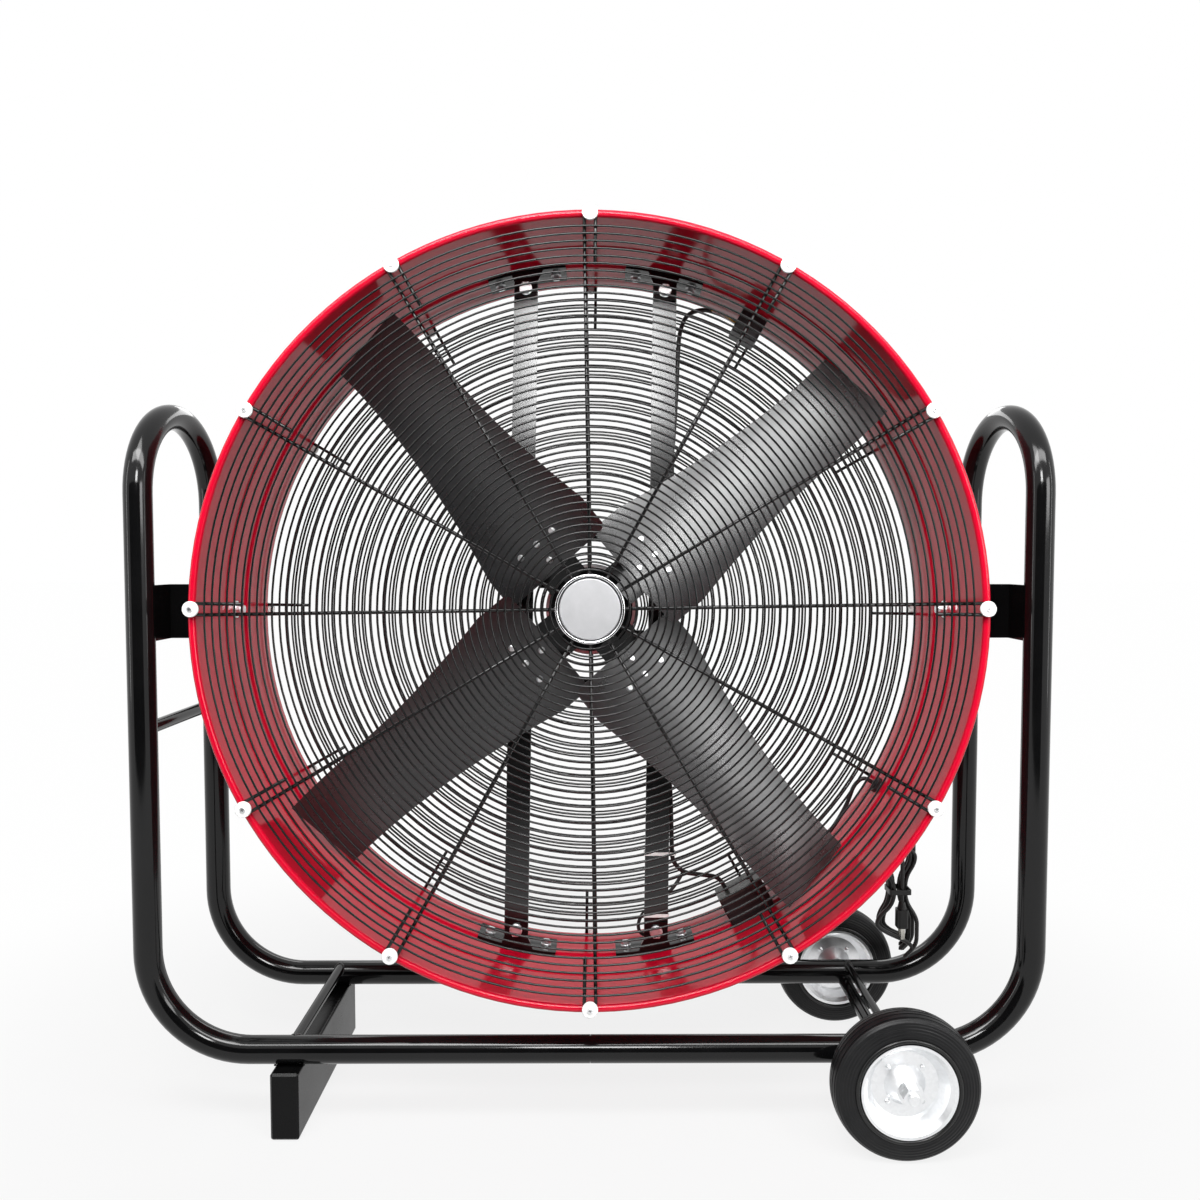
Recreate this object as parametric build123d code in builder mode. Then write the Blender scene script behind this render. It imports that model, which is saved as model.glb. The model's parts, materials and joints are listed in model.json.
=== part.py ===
"""Drum fan on a wheeled tubular frame.

Millimetres, +Z up, origin on the floor under the middle of the frame.
The drum blows towards -Y, which is the front. +X is the wheel side.
"""

from build123d import *
import math
import os

os.makedirs("parts", exist_ok=True)

# ---------------------------------------------------------------- frame sizes
TUBE_OD = 38.1
TUBE_WALL = 1.8
FRAME_HALF_WIDTH = 631.0        # tube centre to the middle of the frame
FRAME_HALF_DEPTH = 123.4        # also the radius of the handle arches
BASE_TUBE_Z = 115.0
ARCH_START_Z = 908.0
CORNER_RADIUS = 145.0
TUBE_END_GAP = 0.2              # half the seam where the two halves meet
SLEEVE_LENGTH = 140.0
SLEEVE_WALL = 2.0

CROSS_ROD_OD = 16.0
CROSS_ROD_X = 425.0
CROSS_ROD_RISE = 10.0           # rod centre above the base tube centre
WHEEL_ROD_OD = 12.0
WHEEL_ROD_X = 436.0
WHEEL_ROD_RISE = 13.0           # rod centre above the base tube centre
SIDE_ROD_OD = 19.0
SIDE_ROD_Z = 576.0

FOOT_X = -430.0
FOOT_WIDTH = 40.0
FOOT_LENGTH = 310.0
FOOT_WALL = 2.0
FOOT_CORNER = 4.0
FOOT_CAP_THICKNESS = 5.0
FOOT_CAP_PLUG = 18.0
FOOT_CAP_CHAMFER = 3.0

# ------------------------------------------------------------ pivots and tilt
PIVOT_Z = 740.5
REST_TILT = 3.2                 # degrees that the drum looks up at rest
PIVOT_PLATE_HEIGHT = 80.0
PIVOT_PLATE_THICKNESS = 4.0
PIVOT_PLATE_INSET = 7.0         # middle of the plate ends, in from the uprights' middle
PIVOT_WEB_HALF = 50.0
PIVOT_BEND_RADIUS = 6.0         # outer radius of the bracket bends
PIVOT_BOLT_D = 12.0
PIVOT_SPACER_OD = 28.0
PIVOT_SPACER_LENGTH = 8.0

# ----------------------------------------------------------------- drum sizes
DRUM_RADIUS = 546.0             # inside of the wall
DRUM_WALL = 1.2
DRUM_HALF_DEPTH = 144.5
BEAD_OD = 11.0
BEAD_WALL = 1.4
SWAGE_PLACES = (38.0, -38.0)
SWAGE_WIDTH = 22.0
SWAGE_CREST = 10.0
SWAGE_HEIGHT = 3.0

RING_COUNT = 47
RING_WIRE = 3.0
RING_FACETS = 6                 # flats round the wire, one pair along the axis
RING_FIRST = 55.0
RING_LAST = 530.0
SPOKE_COUNT = 12
SPOKE_WIRE = 5.0
SPOKE_SPREAD = 0.83             # degrees from the clip to each wire of a pair
SPOKE_INNER = 22.0
SHORT_SPOKE_INNER = 478.0
CLIP_RADIUS = 549.0
CLIP_OD = 22.0
CLIP_THICKNESS = 3.6
CLIP_KEY_WIDTH = 9.4
CLIP_KEY_LENGTH = 14.0
CLIP_EDGE = 0.8
CLIP_SCREW_D = 4.0
CLIP_SCREW_HEAD = 8.0
CLIP_SCREW_LENGTH = 13.0

BADGE_RADIUS = 42.4
BADGE_RING_INNER = 44.2
BADGE_RING_OUTER = 48.2
BADGE_HEIGHT = 8.0
BADGE_BASE = 1.5
BADGE_THICKNESS = 4.0

# -------------------------------------------------------------- motor support
STRUT_X = 110.0
STRUT_WIDTH = 37.5
STRUT_THICKNESS = 4.5
STRUT_END_INSET = 28.0           # strut ends, in from the drum wall
STRUT_BOLT_INSET = 41.0          # strut bolts, in from the drum wall
STRUT_BOLT_D = 10.0
BRACKET_FRONT = -34.0           # front face of the bracket tabs along the axis
BRACKET_DEPTH = 59.0
BRACKET_LENGTH = 125.0
BRACKET_THICKNESS = 4.0
BRACKET_TAB_WIDTH = 34.0
BRACKET_TAB_END = 15.0
BRACKET_BOLT_REACH = 46.0
BRACKET_BOLT_D = 8.0
YOKE_Y = 125.0
YOKE_WIDTH = 26.0
YOKE_THICKNESS = 3.0
YOKE_LEG_WIDTH = 22.0
YOKE_LEG_X = 72.0
LUG_RADIUS = 84.0
LUG_WIDTH = 22.0
LUG_DEPTH = 10.0
YOKE_BOLT_D = 8.0

MOTOR_RADIUS = 70.0
MOTOR_WALL = 3.0
MOTOR_FRONT = -22.0
MOTOR_REAR = -112.0
MOUNT_TURN = -0.85              # degrees that the motor mount sits round the axis
SHIELD_DEPTH = 14.0
SHIELD_WALL = 4.0
SHIELD_SPIGOT = 6.0
SHIELD_EDGE = 5.0               # chamfer round the motor's ends
SHIELD_BOSS_WALL = 4.0
BEARING_INSET = 3.0             # from the motor's face
BEARING_OD = 40.0
BEARING_WIDTH = 12.0
STATOR_LENGTH = 46.0
STATOR_CORE_LENGTH = 28.0
STATOR_WINDING_INSET = 6.0
ROTOR_RADIUS = 40.0
SHAFT_D = 16.0
SHAFT_FRONT = 36.0

# ------------------------------------------------------------------ the blades
BLADE_COUNT = 4
BLADE_START_ANGLE = 39.6
BLADE_Z = 13.0
BLADE_PITCH = 25.0
BLADE_ROOT = 79.0
BLADE_TIP = 533.0
BLADE_THICKNESS = 2.0
BLADE_CAMBER_RADIUS = 330.0
BLADE_ROOT_HALF = 94.0          # half widths are as seen along the axis
BLADE_SHOULDER = 134.0          # radius up to which the root keeps its width
BLADE_WAIST = (228.0, 78.0)     # radius and half width
BLADE_MIDDLE = (323.0, 67.0)
BLADE_OUTER = (430.0, 62.0)
BLADE_TIP_LEADING = 67.0
BLADE_TIP_TRAILING = 55.0
BLADE_TIP_FILLET = 18.0
BLADE_ROOT_FILLET = 10.0
BLADE_DEPTH = 120.0             # more than the blade reaches along the axis
ARM_END = 148.0
ARM_HALF_END = 43.0
ARM_HALF_NECK = 33.0
ARM_NECK = 52.0
ARM_FILLET = 10.0
ARM_THICKNESS = 3.0
SPIDER_DISC_RADIUS = 64.0
SPIDER_DISC_THICKNESS = 4.0
HUB_RADIUS = 23.0
HUB_REAR = 0.0
HUB_FRONT = 34.0
RIVET_D = 6.0
RIVET_HEAD_D = 11.0
RIVET_HEAD = 3.0
RIVET_OUTER = 128.7
RIVET_INNER = 97.5
RIVET_SPACING = 35.0            # along the blade's curve

# ------------------------------------------------------------------ the wheels
WHEEL_RADIUS = 101.5
WHEEL_WIDTH = 44.0
WHEEL_X = 430.0
WHEEL_Y = 190.0                 # middle of each wheel from the frame's middle
AXLE_D = 15.9
AXLE_SLEEVE_OD = 20.4
BUSHING_OD = 26.0
BUSHING_LENGTH = 44.0
WASHER_OD = 34.0
WASHER_THICKNESS = 2.0
AXLE_NUT_FLATS = 24.0
AXLE_NUT_HEIGHT = 13.0
AXLE_STUB = 4.0
RIM_SHEET = 1.5
RIM_PLATE_RADIUS = 47.0
RIM_LIP_RADIUS = 61.7
RIM_LIP_REACH = 21.0
RIM_CONE_FOOT = 27.0
RIM_CONE_REACH = 18.0
TREAD_GROOVES = 5
TREAD_GROOVE_PITCH = 6.6
TREAD_GROOVE_WIDTH = 2.0
TREAD_GROOVE_DEPTH = 1.8
TREAD_CROWN_RADIUS = 45.0
TIRE_BULGE_RADIUS = 80.0
TIRE_SEAT = 1.2                 # of the tyre's foot over the rim's channel

# -------------------------------------------------------------- the electrics
BOX_ANGLE = -62.0
BOX_LENGTH = 75.0
BOX_HEIGHT = 40.0
BOX_DEPTH = 62.0
BOX_MIDDLE = -66.0
BOX_WALL = 2.5
BOX_LID = 4.0
BOX_FILLET = 4.0
CAPACITOR_D = 30.0
CAPACITOR_LENGTH = 50.0
SWITCH_ANGLE = 60.8
SWITCH_MIDDLE = -82.0
SWITCH_SIZE = 44.0
SWITCH_HEIGHT = 42.0
DIAL_SIZE = 54.0
DIAL_THICKNESS = 1.5
KNOB_D = 38.0
KNOB_HEIGHT = 20.0
KNOB_SHAFT_D = 6.0
KNOB_SHAFT_REACH = 14.0
GLAND_ANGLE = -31.6
GLAND_MIDDLE = -76.0
GLAND_THREAD_D = 16.0
GLAND_NUT_FLATS = 22.0
GLAND_NUT_HEIGHT = 6.0
GLAND_REACH = 30.0
LEAD_D = 7.0
LEAD_EXIT_ANGLE = 50.0
LEAD_EXIT_Z = -84.0
LEAD_BOSS_D = 14.0
LEAD_BOSS_REACH = 78.0
TIE_WIDTH = 5.0
TIE_THICKNESS = 1.2

# ------------------------------------------------------- supply cord and plug
CORD_D = 6.5
CORD_ARC_SHARE = 0.45           # of the shorter run, for each bend
HANK_X = 496.0
HANK_Y = 55.0
HANK_Z = 284.0
HANK_HALF_HEIGHT = 74.0         # from the waist to the start of a lobe
HANK_TIED = 6.0                 # half the length that runs straight through the tie
HANK_STEP = 8.0                 # from strand to strand beside it
HANK_LAYER = 7.8                # from layer to layer
HANK_FORWARD = 5.0              # of the plug's strand, more than a layer
HANK_LOBE = 20.0                # from the middle to the innermost strand
HANK_WAIST = 4.6                # the same at the tie
HANK_LAST_WAIST = 9.0           # last strand before the plug's
PLUG_STRAND = 3.5               # plug's strand from the hank's middle
HANK_TIE_HEIGHT = 8.0
HANK_TIE_THICKNESS = 1.6
PLUG_TOP = -16.0                # below the tie
PLUG_RELIEF = 12.0
PLUG_LENGTH = 30.0
PLUG_WIDTH = 18.0
PLUG_NECK = 9.5
PLUG_BLADE_THICKNESS = 1.5
PLUG_BLADE_WIDTH = 6.3
PLUG_BLADE_LENGTH = 17.5
PLUG_BLADE_SPACING = 12.7

# ----------------------------------------------------------------- clearances
SEAT = 0.1                      # between faces that rest on each other
COPE = 0.15                     # round a welded joint
FIT = 0.08                      # radial, running fit
SLIP = 0.2                      # radial, bolt in its hole
AIR_GAP = 0.4                   # radial, rotor in its stator

# --------------------------------------------------------------- derived sizes
TUBE_R = TUBE_OD / 2
AXLE_Z = WHEEL_RADIUS
DRUM_OUTER = DRUM_RADIUS + DRUM_WALL
BEAD_R = BEAD_OD / 2
BEAD_CENTRE = DRUM_RADIUS + BEAD_R
BEAD_Z = DRUM_HALF_DEPTH - BEAD_R
SPOKE_Z = DRUM_HALF_DEPTH + SPOKE_WIRE / 2 + SEAT
SPOKE_TOP = SPOKE_Z + SPOKE_WIRE / 2
RING_Z = SPOKE_TOP + RING_WIRE / 2 * math.cos(math.pi / RING_FACETS) + SEAT
CLIP_BASE = SPOKE_TOP + SEAT
CLIP_TOP = CLIP_BASE + CLIP_THICKNESS
STRUT_HALF_LENGTH = DRUM_RADIUS - STRUT_END_INSET
STRUT_BOLT_Y = DRUM_RADIUS - STRUT_BOLT_INSET
STRUT_FRONT = BRACKET_FRONT - BRACKET_THICKNESS - SEAT
STRUT_BACK = STRUT_FRONT - STRUT_THICKNESS
YOKE_FRONT = STRUT_BACK - SEAT
YOKE_BACK = YOKE_FRONT - YOKE_THICKNESS
PIVOT_WEB_X = DRUM_OUTER + PIVOT_SPACER_LENGTH + 2 * SEAT
PIVOT_PLATE_X = FRAME_HALF_WIDTH - PIVOT_PLATE_INSET
CLIP_ANGLE = 360.0 / SPOKE_COUNT

# The drum's own frame: x to the right, y up, z out of the front grille.
TILT = math.radians(REST_TILT)
DRUM = Plane(
    origin=(0, 0, PIVOT_Z),
    x_dir=(1, 0, 0),
    z_dir=(0, -math.cos(TILT), math.sin(TILT)),
)
DRUM_AXIS = Axis(DRUM.origin, DRUM.z_dir)
DRUM_SECTION = Plane(origin=DRUM.origin, x_dir=DRUM.x_dir, z_dir=DRUM.y_dir * -1)


def save(item, name):
    """Label a finished piece and write it."""
    item.part.label = name
    export_step(item.part, f"parts/{name}.step")


def on_drum(x, y, z):
    """A point of the drum's own frame in the part's frame."""
    return DRUM.from_local_coords(Vector(x, y, z))


def wall_plane(angle, along, radius):
    """Plane tangent to the drum: x along the wall, y to the front, z outwards."""
    turn = Location((0, 0, along), (0, 0, angle - 90))
    stand = Location((0, radius, 0), (-90, 0, 0))
    flip = Location((0, 0, 0), (0, 0, 180))
    return Plane(DRUM.location * turn * stand * flip)


def wheel_section(side):
    """Plane through a wheel's axis: x is the radius, y points away from the frame."""
    return Plane(
        origin=(WHEEL_X, side * WHEEL_Y, AXLE_Z),
        x_dir=(1, 0, 0),
        z_dir=(0, 0, side),
    )


def wheel_axis(side):
    return Axis((WHEEL_X, side * WHEEL_Y, AXLE_Z), (0, side, 0))


def corner_radii(points):
    """One large arc for each corner of a cable's route."""
    radii = []
    for first, corner, last in zip(points, points[1:], points[2:]):
        before = corner - first
        after = last - corner
        half_turn = math.radians(before.get_angle(after)) / 2
        shorter = min(before.length, after.length)
        radii.append(CORD_ARC_SHARE * shorter / math.tan(half_turn))
    return radii


def cables(name, routes, diameter):
    """Round cables, each along straight runs joined by tangent arcs."""
    with BuildPart() as tubes:
        for points in routes:
            radii = corner_radii(points)
            with BuildLine() as route:
                FilletPolyline(*points, radius=radii)
            path = route.wire()
            with BuildSketch(Plane(origin=path @ 0, z_dir=path % 0)):
                Circle(diameter / 2)
            before = tubes.part.volume if tubes.part else 0.0
            sweep()
            share = (tubes.part.volume - before) / (math.pi * diameter ** 2 / 4 * path.length)
            print(name, "length", round(path.length, 1), "radii", [round(r, 1) for r in radii],
                  "volume share", round(share, 4))
    save(tubes, name)


# ==================================================================== frame
def frame_path(side):
    """Centre line of one bent half: base, upright, handle arch, upright, base."""
    wide = side * FRAME_HALF_WIDTH
    bend = side * (FRAME_HALF_WIDTH - CORNER_RADIUS)
    deep = FRAME_HALF_DEPTH
    low = BASE_TUBE_Z
    rise = BASE_TUBE_Z + CORNER_RADIUS
    seam = side * TUBE_END_GAP
    Line((seam, -deep, low), (bend, -deep, low))
    TangentArc((bend, -deep, low), (wide, -deep, rise), tangent=(side, 0, 0))
    Line((wide, -deep, rise), (wide, -deep, ARCH_START_Z))
    TangentArc((wide, -deep, ARCH_START_Z), (wide, deep, ARCH_START_Z), tangent=(0, 0, 1))
    Line((wide, deep, ARCH_START_Z), (wide, deep, rise))
    TangentArc((wide, deep, rise), (bend, deep, low), tangent=(0, 0, -1))
    Line((bend, deep, low), (seam, deep, low))


for side, name in ((-1, "frame_tube_left"), (1, "frame_tube_right")):
    with BuildPart() as frame_tube:
        with BuildLine() as tube_line:
            frame_path(side)
        with BuildSketch(Plane(origin=tube_line.line @ 0, z_dir=tube_line.line % 0)):
            Circle(TUBE_R)
            Circle(TUBE_R - TUBE_WALL, mode=Mode.SUBTRACT)
        sweep()
        if side > 0:
            # notches in the underside, in which the axle sleeve is welded
            with Locations((WHEEL_X, 0, AXLE_Z)):
                Cylinder(AXLE_SLEEVE_OD / 2 + COPE, 4 * FRAME_HALF_DEPTH, rotation=(90, 0, 0),
                         mode=Mode.SUBTRACT)
    save(frame_tube, name)

with BuildPart() as joint_sleeves:
    with BuildSketch(Plane.YZ.offset(-SLEEVE_LENGTH / 2)):
        with Locations((-FRAME_HALF_DEPTH, BASE_TUBE_Z), (FRAME_HALF_DEPTH, BASE_TUBE_Z)):
            Circle(TUBE_R - TUBE_WALL - COPE)
            Circle(TUBE_R - TUBE_WALL - COPE - SLEEVE_WALL, mode=Mode.SUBTRACT)
    extrude(amount=SLEEVE_LENGTH)
save(joint_sleeves, "joint_sleeves")

with BuildPart() as cross_rods:
    with Locations((-CROSS_ROD_X, 0, BASE_TUBE_Z + CROSS_ROD_RISE)):
        Cylinder(CROSS_ROD_OD / 2, 2 * FRAME_HALF_DEPTH, rotation=(90, 0, 0))
    with Locations((WHEEL_ROD_X, 0, BASE_TUBE_Z + WHEEL_ROD_RISE)):
        Cylinder(WHEEL_ROD_OD / 2, 2 * FRAME_HALF_DEPTH, rotation=(90, 0, 0))
    with Locations((-FRAME_HALF_WIDTH, 0, SIDE_ROD_Z)):
        Cylinder(SIDE_ROD_OD / 2, 2 * FRAME_HALF_DEPTH, rotation=(90, 0, 0))
    # the ends are coped to the round tubes that they are welded to
    with Locations((0, -FRAME_HALF_DEPTH, BASE_TUBE_Z), (0, FRAME_HALF_DEPTH, BASE_TUBE_Z)):
        Cylinder(TUBE_R + COPE, 2 * FRAME_HALF_WIDTH, rotation=(0, 90, 0), mode=Mode.SUBTRACT)
    with Locations((-FRAME_HALF_WIDTH, -FRAME_HALF_DEPTH, SIDE_ROD_Z),
                   (-FRAME_HALF_WIDTH, FRAME_HALF_DEPTH, SIDE_ROD_Z)):
        Cylinder(TUBE_R + COPE, 2 * SIDE_ROD_OD, mode=Mode.SUBTRACT)
save(cross_rods, "cross_rods")

FOOT_HEIGHT = BASE_TUBE_Z - TUBE_R - SEAT
FOOT_BAR_LENGTH = FOOT_LENGTH - 2 * FOOT_CAP_THICKNESS - 2 * SEAT

with BuildPart() as foot_bar:
    with BuildSketch(Plane.XZ.offset(-FOOT_BAR_LENGTH / 2)):
        with Locations((FOOT_X, FOOT_HEIGHT / 2)):
            RectangleRounded(FOOT_WIDTH, FOOT_HEIGHT, FOOT_CORNER)
            RectangleRounded(FOOT_WIDTH - 2 * FOOT_WALL, FOOT_HEIGHT - 2 * FOOT_WALL,
                             FOOT_CORNER - FOOT_WALL, mode=Mode.SUBTRACT)
    extrude(amount=FOOT_BAR_LENGTH)
save(foot_bar, "foot_bar")

with BuildPart() as foot_caps:
    for end in (-1, 1):
        outer_end = Plane(origin=(FOOT_X, end * FOOT_LENGTH / 2, FOOT_HEIGHT / 2),
                          x_dir=(1, 0, 0), z_dir=(0, -end, 0))
        with BuildSketch(outer_end):
            RectangleRounded(FOOT_WIDTH, FOOT_HEIGHT, FOOT_CORNER)
        extrude(amount=FOOT_CAP_THICKNESS)
        outer_face = foot_caps.faces().sort_by(Axis((0, 0, 0), (0, end, 0)))[-1]
        chamfer(outer_face.edges(), FOOT_CAP_CHAMFER)
        with BuildSketch(outer_end.offset(FOOT_CAP_THICKNESS)):
            RectangleRounded(FOOT_WIDTH - 2 * FOOT_WALL - 2 * SLIP,
                             FOOT_HEIGHT - 2 * FOOT_WALL - 2 * SLIP, FOOT_CORNER - FOOT_WALL)
        extrude(amount=FOOT_CAP_PLUG)
save(foot_caps, "foot_end_caps")


# ------------------------------------------------------------ pivot brackets
PIVOT_PLATE_END = FRAME_HALF_DEPTH - math.sqrt(
    (TUBE_R + COPE) ** 2 - (FRAME_HALF_WIDTH - PIVOT_PLATE_X - PIVOT_PLATE_THICKNESS / 2) ** 2)

for side, name in ((-1, "pivot_bracket_left"), (1, "pivot_bracket_right")):
    out = side * (PIVOT_PLATE_X + PIVOT_PLATE_THICKNESS / 2)
    inner = side * PIVOT_WEB_X
    with BuildPart() as pivot_bracket:
        with BuildSketch(Plane.XY.offset(PIVOT_Z - PIVOT_PLATE_HEIGHT / 2)):
            with BuildLine():
                Polyline(
                    (out, -PIVOT_PLATE_END),
                    (out, -PIVOT_WEB_HALF + PIVOT_PLATE_THICKNESS),
                    (inner + side * PIVOT_PLATE_THICKNESS, -PIVOT_WEB_HALF + PIVOT_PLATE_THICKNESS),
                    (inner + side * PIVOT_PLATE_THICKNESS, PIVOT_WEB_HALF - PIVOT_PLATE_THICKNESS),
                    (out, PIVOT_WEB_HALF - PIVOT_PLATE_THICKNESS),
                    (out, PIVOT_PLATE_END),
                    (out - side * PIVOT_PLATE_THICKNESS, PIVOT_PLATE_END),
                    (out - side * PIVOT_PLATE_THICKNESS, PIVOT_WEB_HALF),
                    (inner, PIVOT_WEB_HALF),
                    (inner, -PIVOT_WEB_HALF),
                    (out - side * PIVOT_PLATE_THICKNESS, -PIVOT_WEB_HALF),
                    (out - side * PIVOT_PLATE_THICKNESS, -PIVOT_PLATE_END),
                    close=True,
                )
            make_face()
        extrude(amount=PIVOT_PLATE_HEIGHT)
        web_corners = pivot_bracket.edges().filter_by(Axis.Z).filter_by(
            lambda e: abs(e.center().X - inner) < PIVOT_PLATE_THICKNESS / 2)
        fillet(web_corners, PIVOT_BEND_RADIUS)
        with Locations((inner, 0, PIVOT_Z)):
            Cylinder(PIVOT_BOLT_D / 2 + FIT, 4 * PIVOT_PLATE_THICKNESS, rotation=(0, 90, 0),
                     mode=Mode.SUBTRACT)
    save(pivot_bracket, name)

PIVOT_HEAD_FLATS = 19.0
PIVOT_HEAD_HEIGHT = 7.5
PIVOT_WASHER_OD = 26.0
PIVOT_WASHER = 2.5
PIVOT_NUT_HEIGHT = 10.0
NUT_FACE_X = math.sqrt(DRUM_RADIUS ** 2 - (PIVOT_WASHER_OD / 2) ** 2) - SLIP
WEB_OUTER_X = PIVOT_WEB_X + PIVOT_PLATE_THICKNESS + SEAT

with BuildPart() as pivot_bolts:
    for side in (-1, 1):
        outward = Plane(origin=(0, 0, PIVOT_Z), x_dir=(0, 1, 0), z_dir=(side, 0, 0))
        with BuildSketch(outward.offset(NUT_FACE_X - PIVOT_NUT_HEIGHT - AXLE_STUB)):
            Circle(PIVOT_BOLT_D / 2)
        extrude(amount=WEB_OUTER_X + PIVOT_WASHER + PIVOT_HEAD_HEIGHT
                - NUT_FACE_X + PIVOT_NUT_HEIGHT + AXLE_STUB)
        with BuildSketch(outward.offset(WEB_OUTER_X)):
            Circle(PIVOT_WASHER_OD / 2)
        extrude(amount=PIVOT_WASHER)
        with BuildSketch(outward.offset(WEB_OUTER_X + PIVOT_WASHER)):
            RegularPolygon(PIVOT_HEAD_FLATS / 2, 6, major_radius=False)
        extrude(amount=PIVOT_HEAD_HEIGHT)
        with BuildSketch(outward.offset(NUT_FACE_X)):
            Circle(PIVOT_WASHER_OD / 2)
        extrude(amount=-PIVOT_WASHER)
        with BuildSketch(outward.offset(NUT_FACE_X - PIVOT_WASHER)):
            RegularPolygon(PIVOT_HEAD_FLATS / 2, 6, major_radius=False)
        extrude(amount=PIVOT_WASHER - PIVOT_NUT_HEIGHT)
save(pivot_bolts, "pivot_bolts")

with BuildPart() as pivot_spacers:
    for side in (-1, 1):
        outward = Plane(origin=(0, 0, PIVOT_Z), x_dir=(0, 1, 0), z_dir=(side, 0, 0))
        with BuildSketch(outward.offset(DRUM_OUTER + SEAT)):
            Circle(PIVOT_SPACER_OD / 2)
            Circle(PIVOT_BOLT_D / 2 + SLIP, mode=Mode.SUBTRACT)
        extrude(amount=PIVOT_SPACER_LENGTH)
save(pivot_spacers, "pivot_spacers")


# ==================================================================== wheels
def make_tire(side, name):
    """A ribbed tyre: half its section is drawn and mirrored about the wheel's middle."""
    half = WHEEL_WIDTH / 2
    seat = RIM_PLATE_RADIUS + RIM_SHEET + TIRE_SEAT
    with BuildPart() as tire:
        with BuildSketch(wheel_section(side)):
            with BuildLine():
                foot = Polyline((seat, 0), (seat, RIM_SHEET + SEAT + 1.0),
                                (RIM_LIP_RADIUS - 2.5, RIM_LIP_REACH - 4.0),
                                (RIM_LIP_RADIUS + 5.0, RIM_LIP_REACH))
                wall = ThreePointArc(foot @ 1, (TIRE_BULGE_RADIUS, half),
                                     (TIRE_BULGE_RADIUS + 10.0, half - 1.4))
                shoulder = ThreePointArc(wall @ 1, (WHEEL_RADIUS - 5.5, half - 3.2),
                                         (WHEEL_RADIUS - 2.9, half - 6.0))
                tread = ThreePointArc(shoulder @ 1, (WHEEL_RADIUS - 0.7, half / 2 - 3.0),
                                      (WHEEL_RADIUS, 0))
                Line(tread @ 1, foot @ 0)
            make_face()
            mirror(about=Plane.XZ)
            for groove in range(TREAD_GROOVES):
                across = (groove - (TREAD_GROOVES - 1) / 2) * TREAD_GROOVE_PITCH
                drop = across ** 2 / (2 * TREAD_CROWN_RADIUS)
                with Locations((WHEEL_RADIUS - drop, across)):
                    Rectangle(2 * TREAD_GROOVE_DEPTH, TREAD_GROOVE_WIDTH, mode=Mode.SUBTRACT)
        revolve(axis=wheel_axis(side))
    save(tire, f"tire_{name}")


def make_rim(side, name):
    """Two stamped halves, dished away from each other and flared out at the hub."""
    sheet = RIM_SHEET
    hub = BUSHING_OD / 2 + SEAT
    section = wheel_section(side)
    with BuildPart() as rim:
        with BuildSketch(section):
            with BuildLine():
                Polyline(
                    (hub, RIM_CONE_REACH),
                    (hub + sheet, RIM_CONE_REACH),
                    (RIM_CONE_FOOT + sheet, sheet + SEAT),
                    (RIM_PLATE_RADIUS - 1.0, sheet + SEAT),
                    (RIM_PLATE_RADIUS + 1.5, sheet + 3.0),
                    (RIM_LIP_RADIUS - 5.5, RIM_LIP_REACH - 4.0),
                    (RIM_LIP_RADIUS, RIM_LIP_REACH + sheet),
                    (RIM_LIP_RADIUS + 4.0, RIM_LIP_REACH + sheet + 0.8),
                    (RIM_LIP_RADIUS + 4.0, RIM_LIP_REACH + 0.8),
                    (RIM_LIP_RADIUS + 0.6, RIM_LIP_REACH - 0.2),
                    (RIM_LIP_RADIUS - 4.4, RIM_LIP_REACH - 5.2),
                    (RIM_PLATE_RADIUS + 2.4, sheet + 0.7),
                    (RIM_PLATE_RADIUS, SEAT),
                    (RIM_CONE_FOOT, SEAT),
                    close=True,
                )
            make_face()
        revolve(axis=wheel_axis(side))
        mirror(about=Plane(origin=section.origin, z_dir=(0, 1, 0)))
    save(rim, f"rim_{name}")


def make_bushing(side, name):
    middle = Plane(origin=(WHEEL_X, side * WHEEL_Y, AXLE_Z), x_dir=(1, 0, 0), z_dir=(0, 1, 0))
    with BuildPart() as bushing:
        with BuildSketch(middle):
            Circle(BUSHING_OD / 2)
            Circle(AXLE_D / 2 + FIT, mode=Mode.SUBTRACT)
        extrude(amount=BUSHING_LENGTH / 2, both=True)
    save(bushing, f"bushing_{name}")


for side, name in ((-1, "front"), (1, "rear")):
    make_tire(side, name)
    make_rim(side, name)
    make_bushing(side, name)

HUB_FACE_Y = WHEEL_Y + BUSHING_LENGTH / 2 + 2 * SEAT
INNER_FACE_Y = WHEEL_Y - BUSHING_LENGTH / 2 - 2 * SEAT
SLEEVE_END_Y = INNER_FACE_Y - WASHER_THICKNESS - SEAT
NUT_Y = HUB_FACE_Y + WASHER_THICKNESS + SEAT
AXLE_HALF = NUT_Y + AXLE_NUT_HEIGHT + AXLE_STUB
AXLE_LINE = Plane(origin=(WHEEL_X, 0, AXLE_Z), x_dir=(1, 0, 0), z_dir=(0, 1, 0))

with BuildPart() as axle_sleeve:
    with BuildSketch(AXLE_LINE.offset(-SLEEVE_END_Y)):
        Circle(AXLE_SLEEVE_OD / 2)
        Circle(AXLE_D / 2 + SLIP, mode=Mode.SUBTRACT)
    extrude(amount=2 * SLEEVE_END_Y)
save(axle_sleeve, "axle_sleeve")

with BuildPart() as axle:
    with BuildSketch(AXLE_LINE.offset(-AXLE_HALF)):
        Circle(AXLE_D / 2)
    extrude(amount=2 * AXLE_HALF)
    chamfer(axle.edges(), 1.2)
save(axle, "axle")

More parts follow.
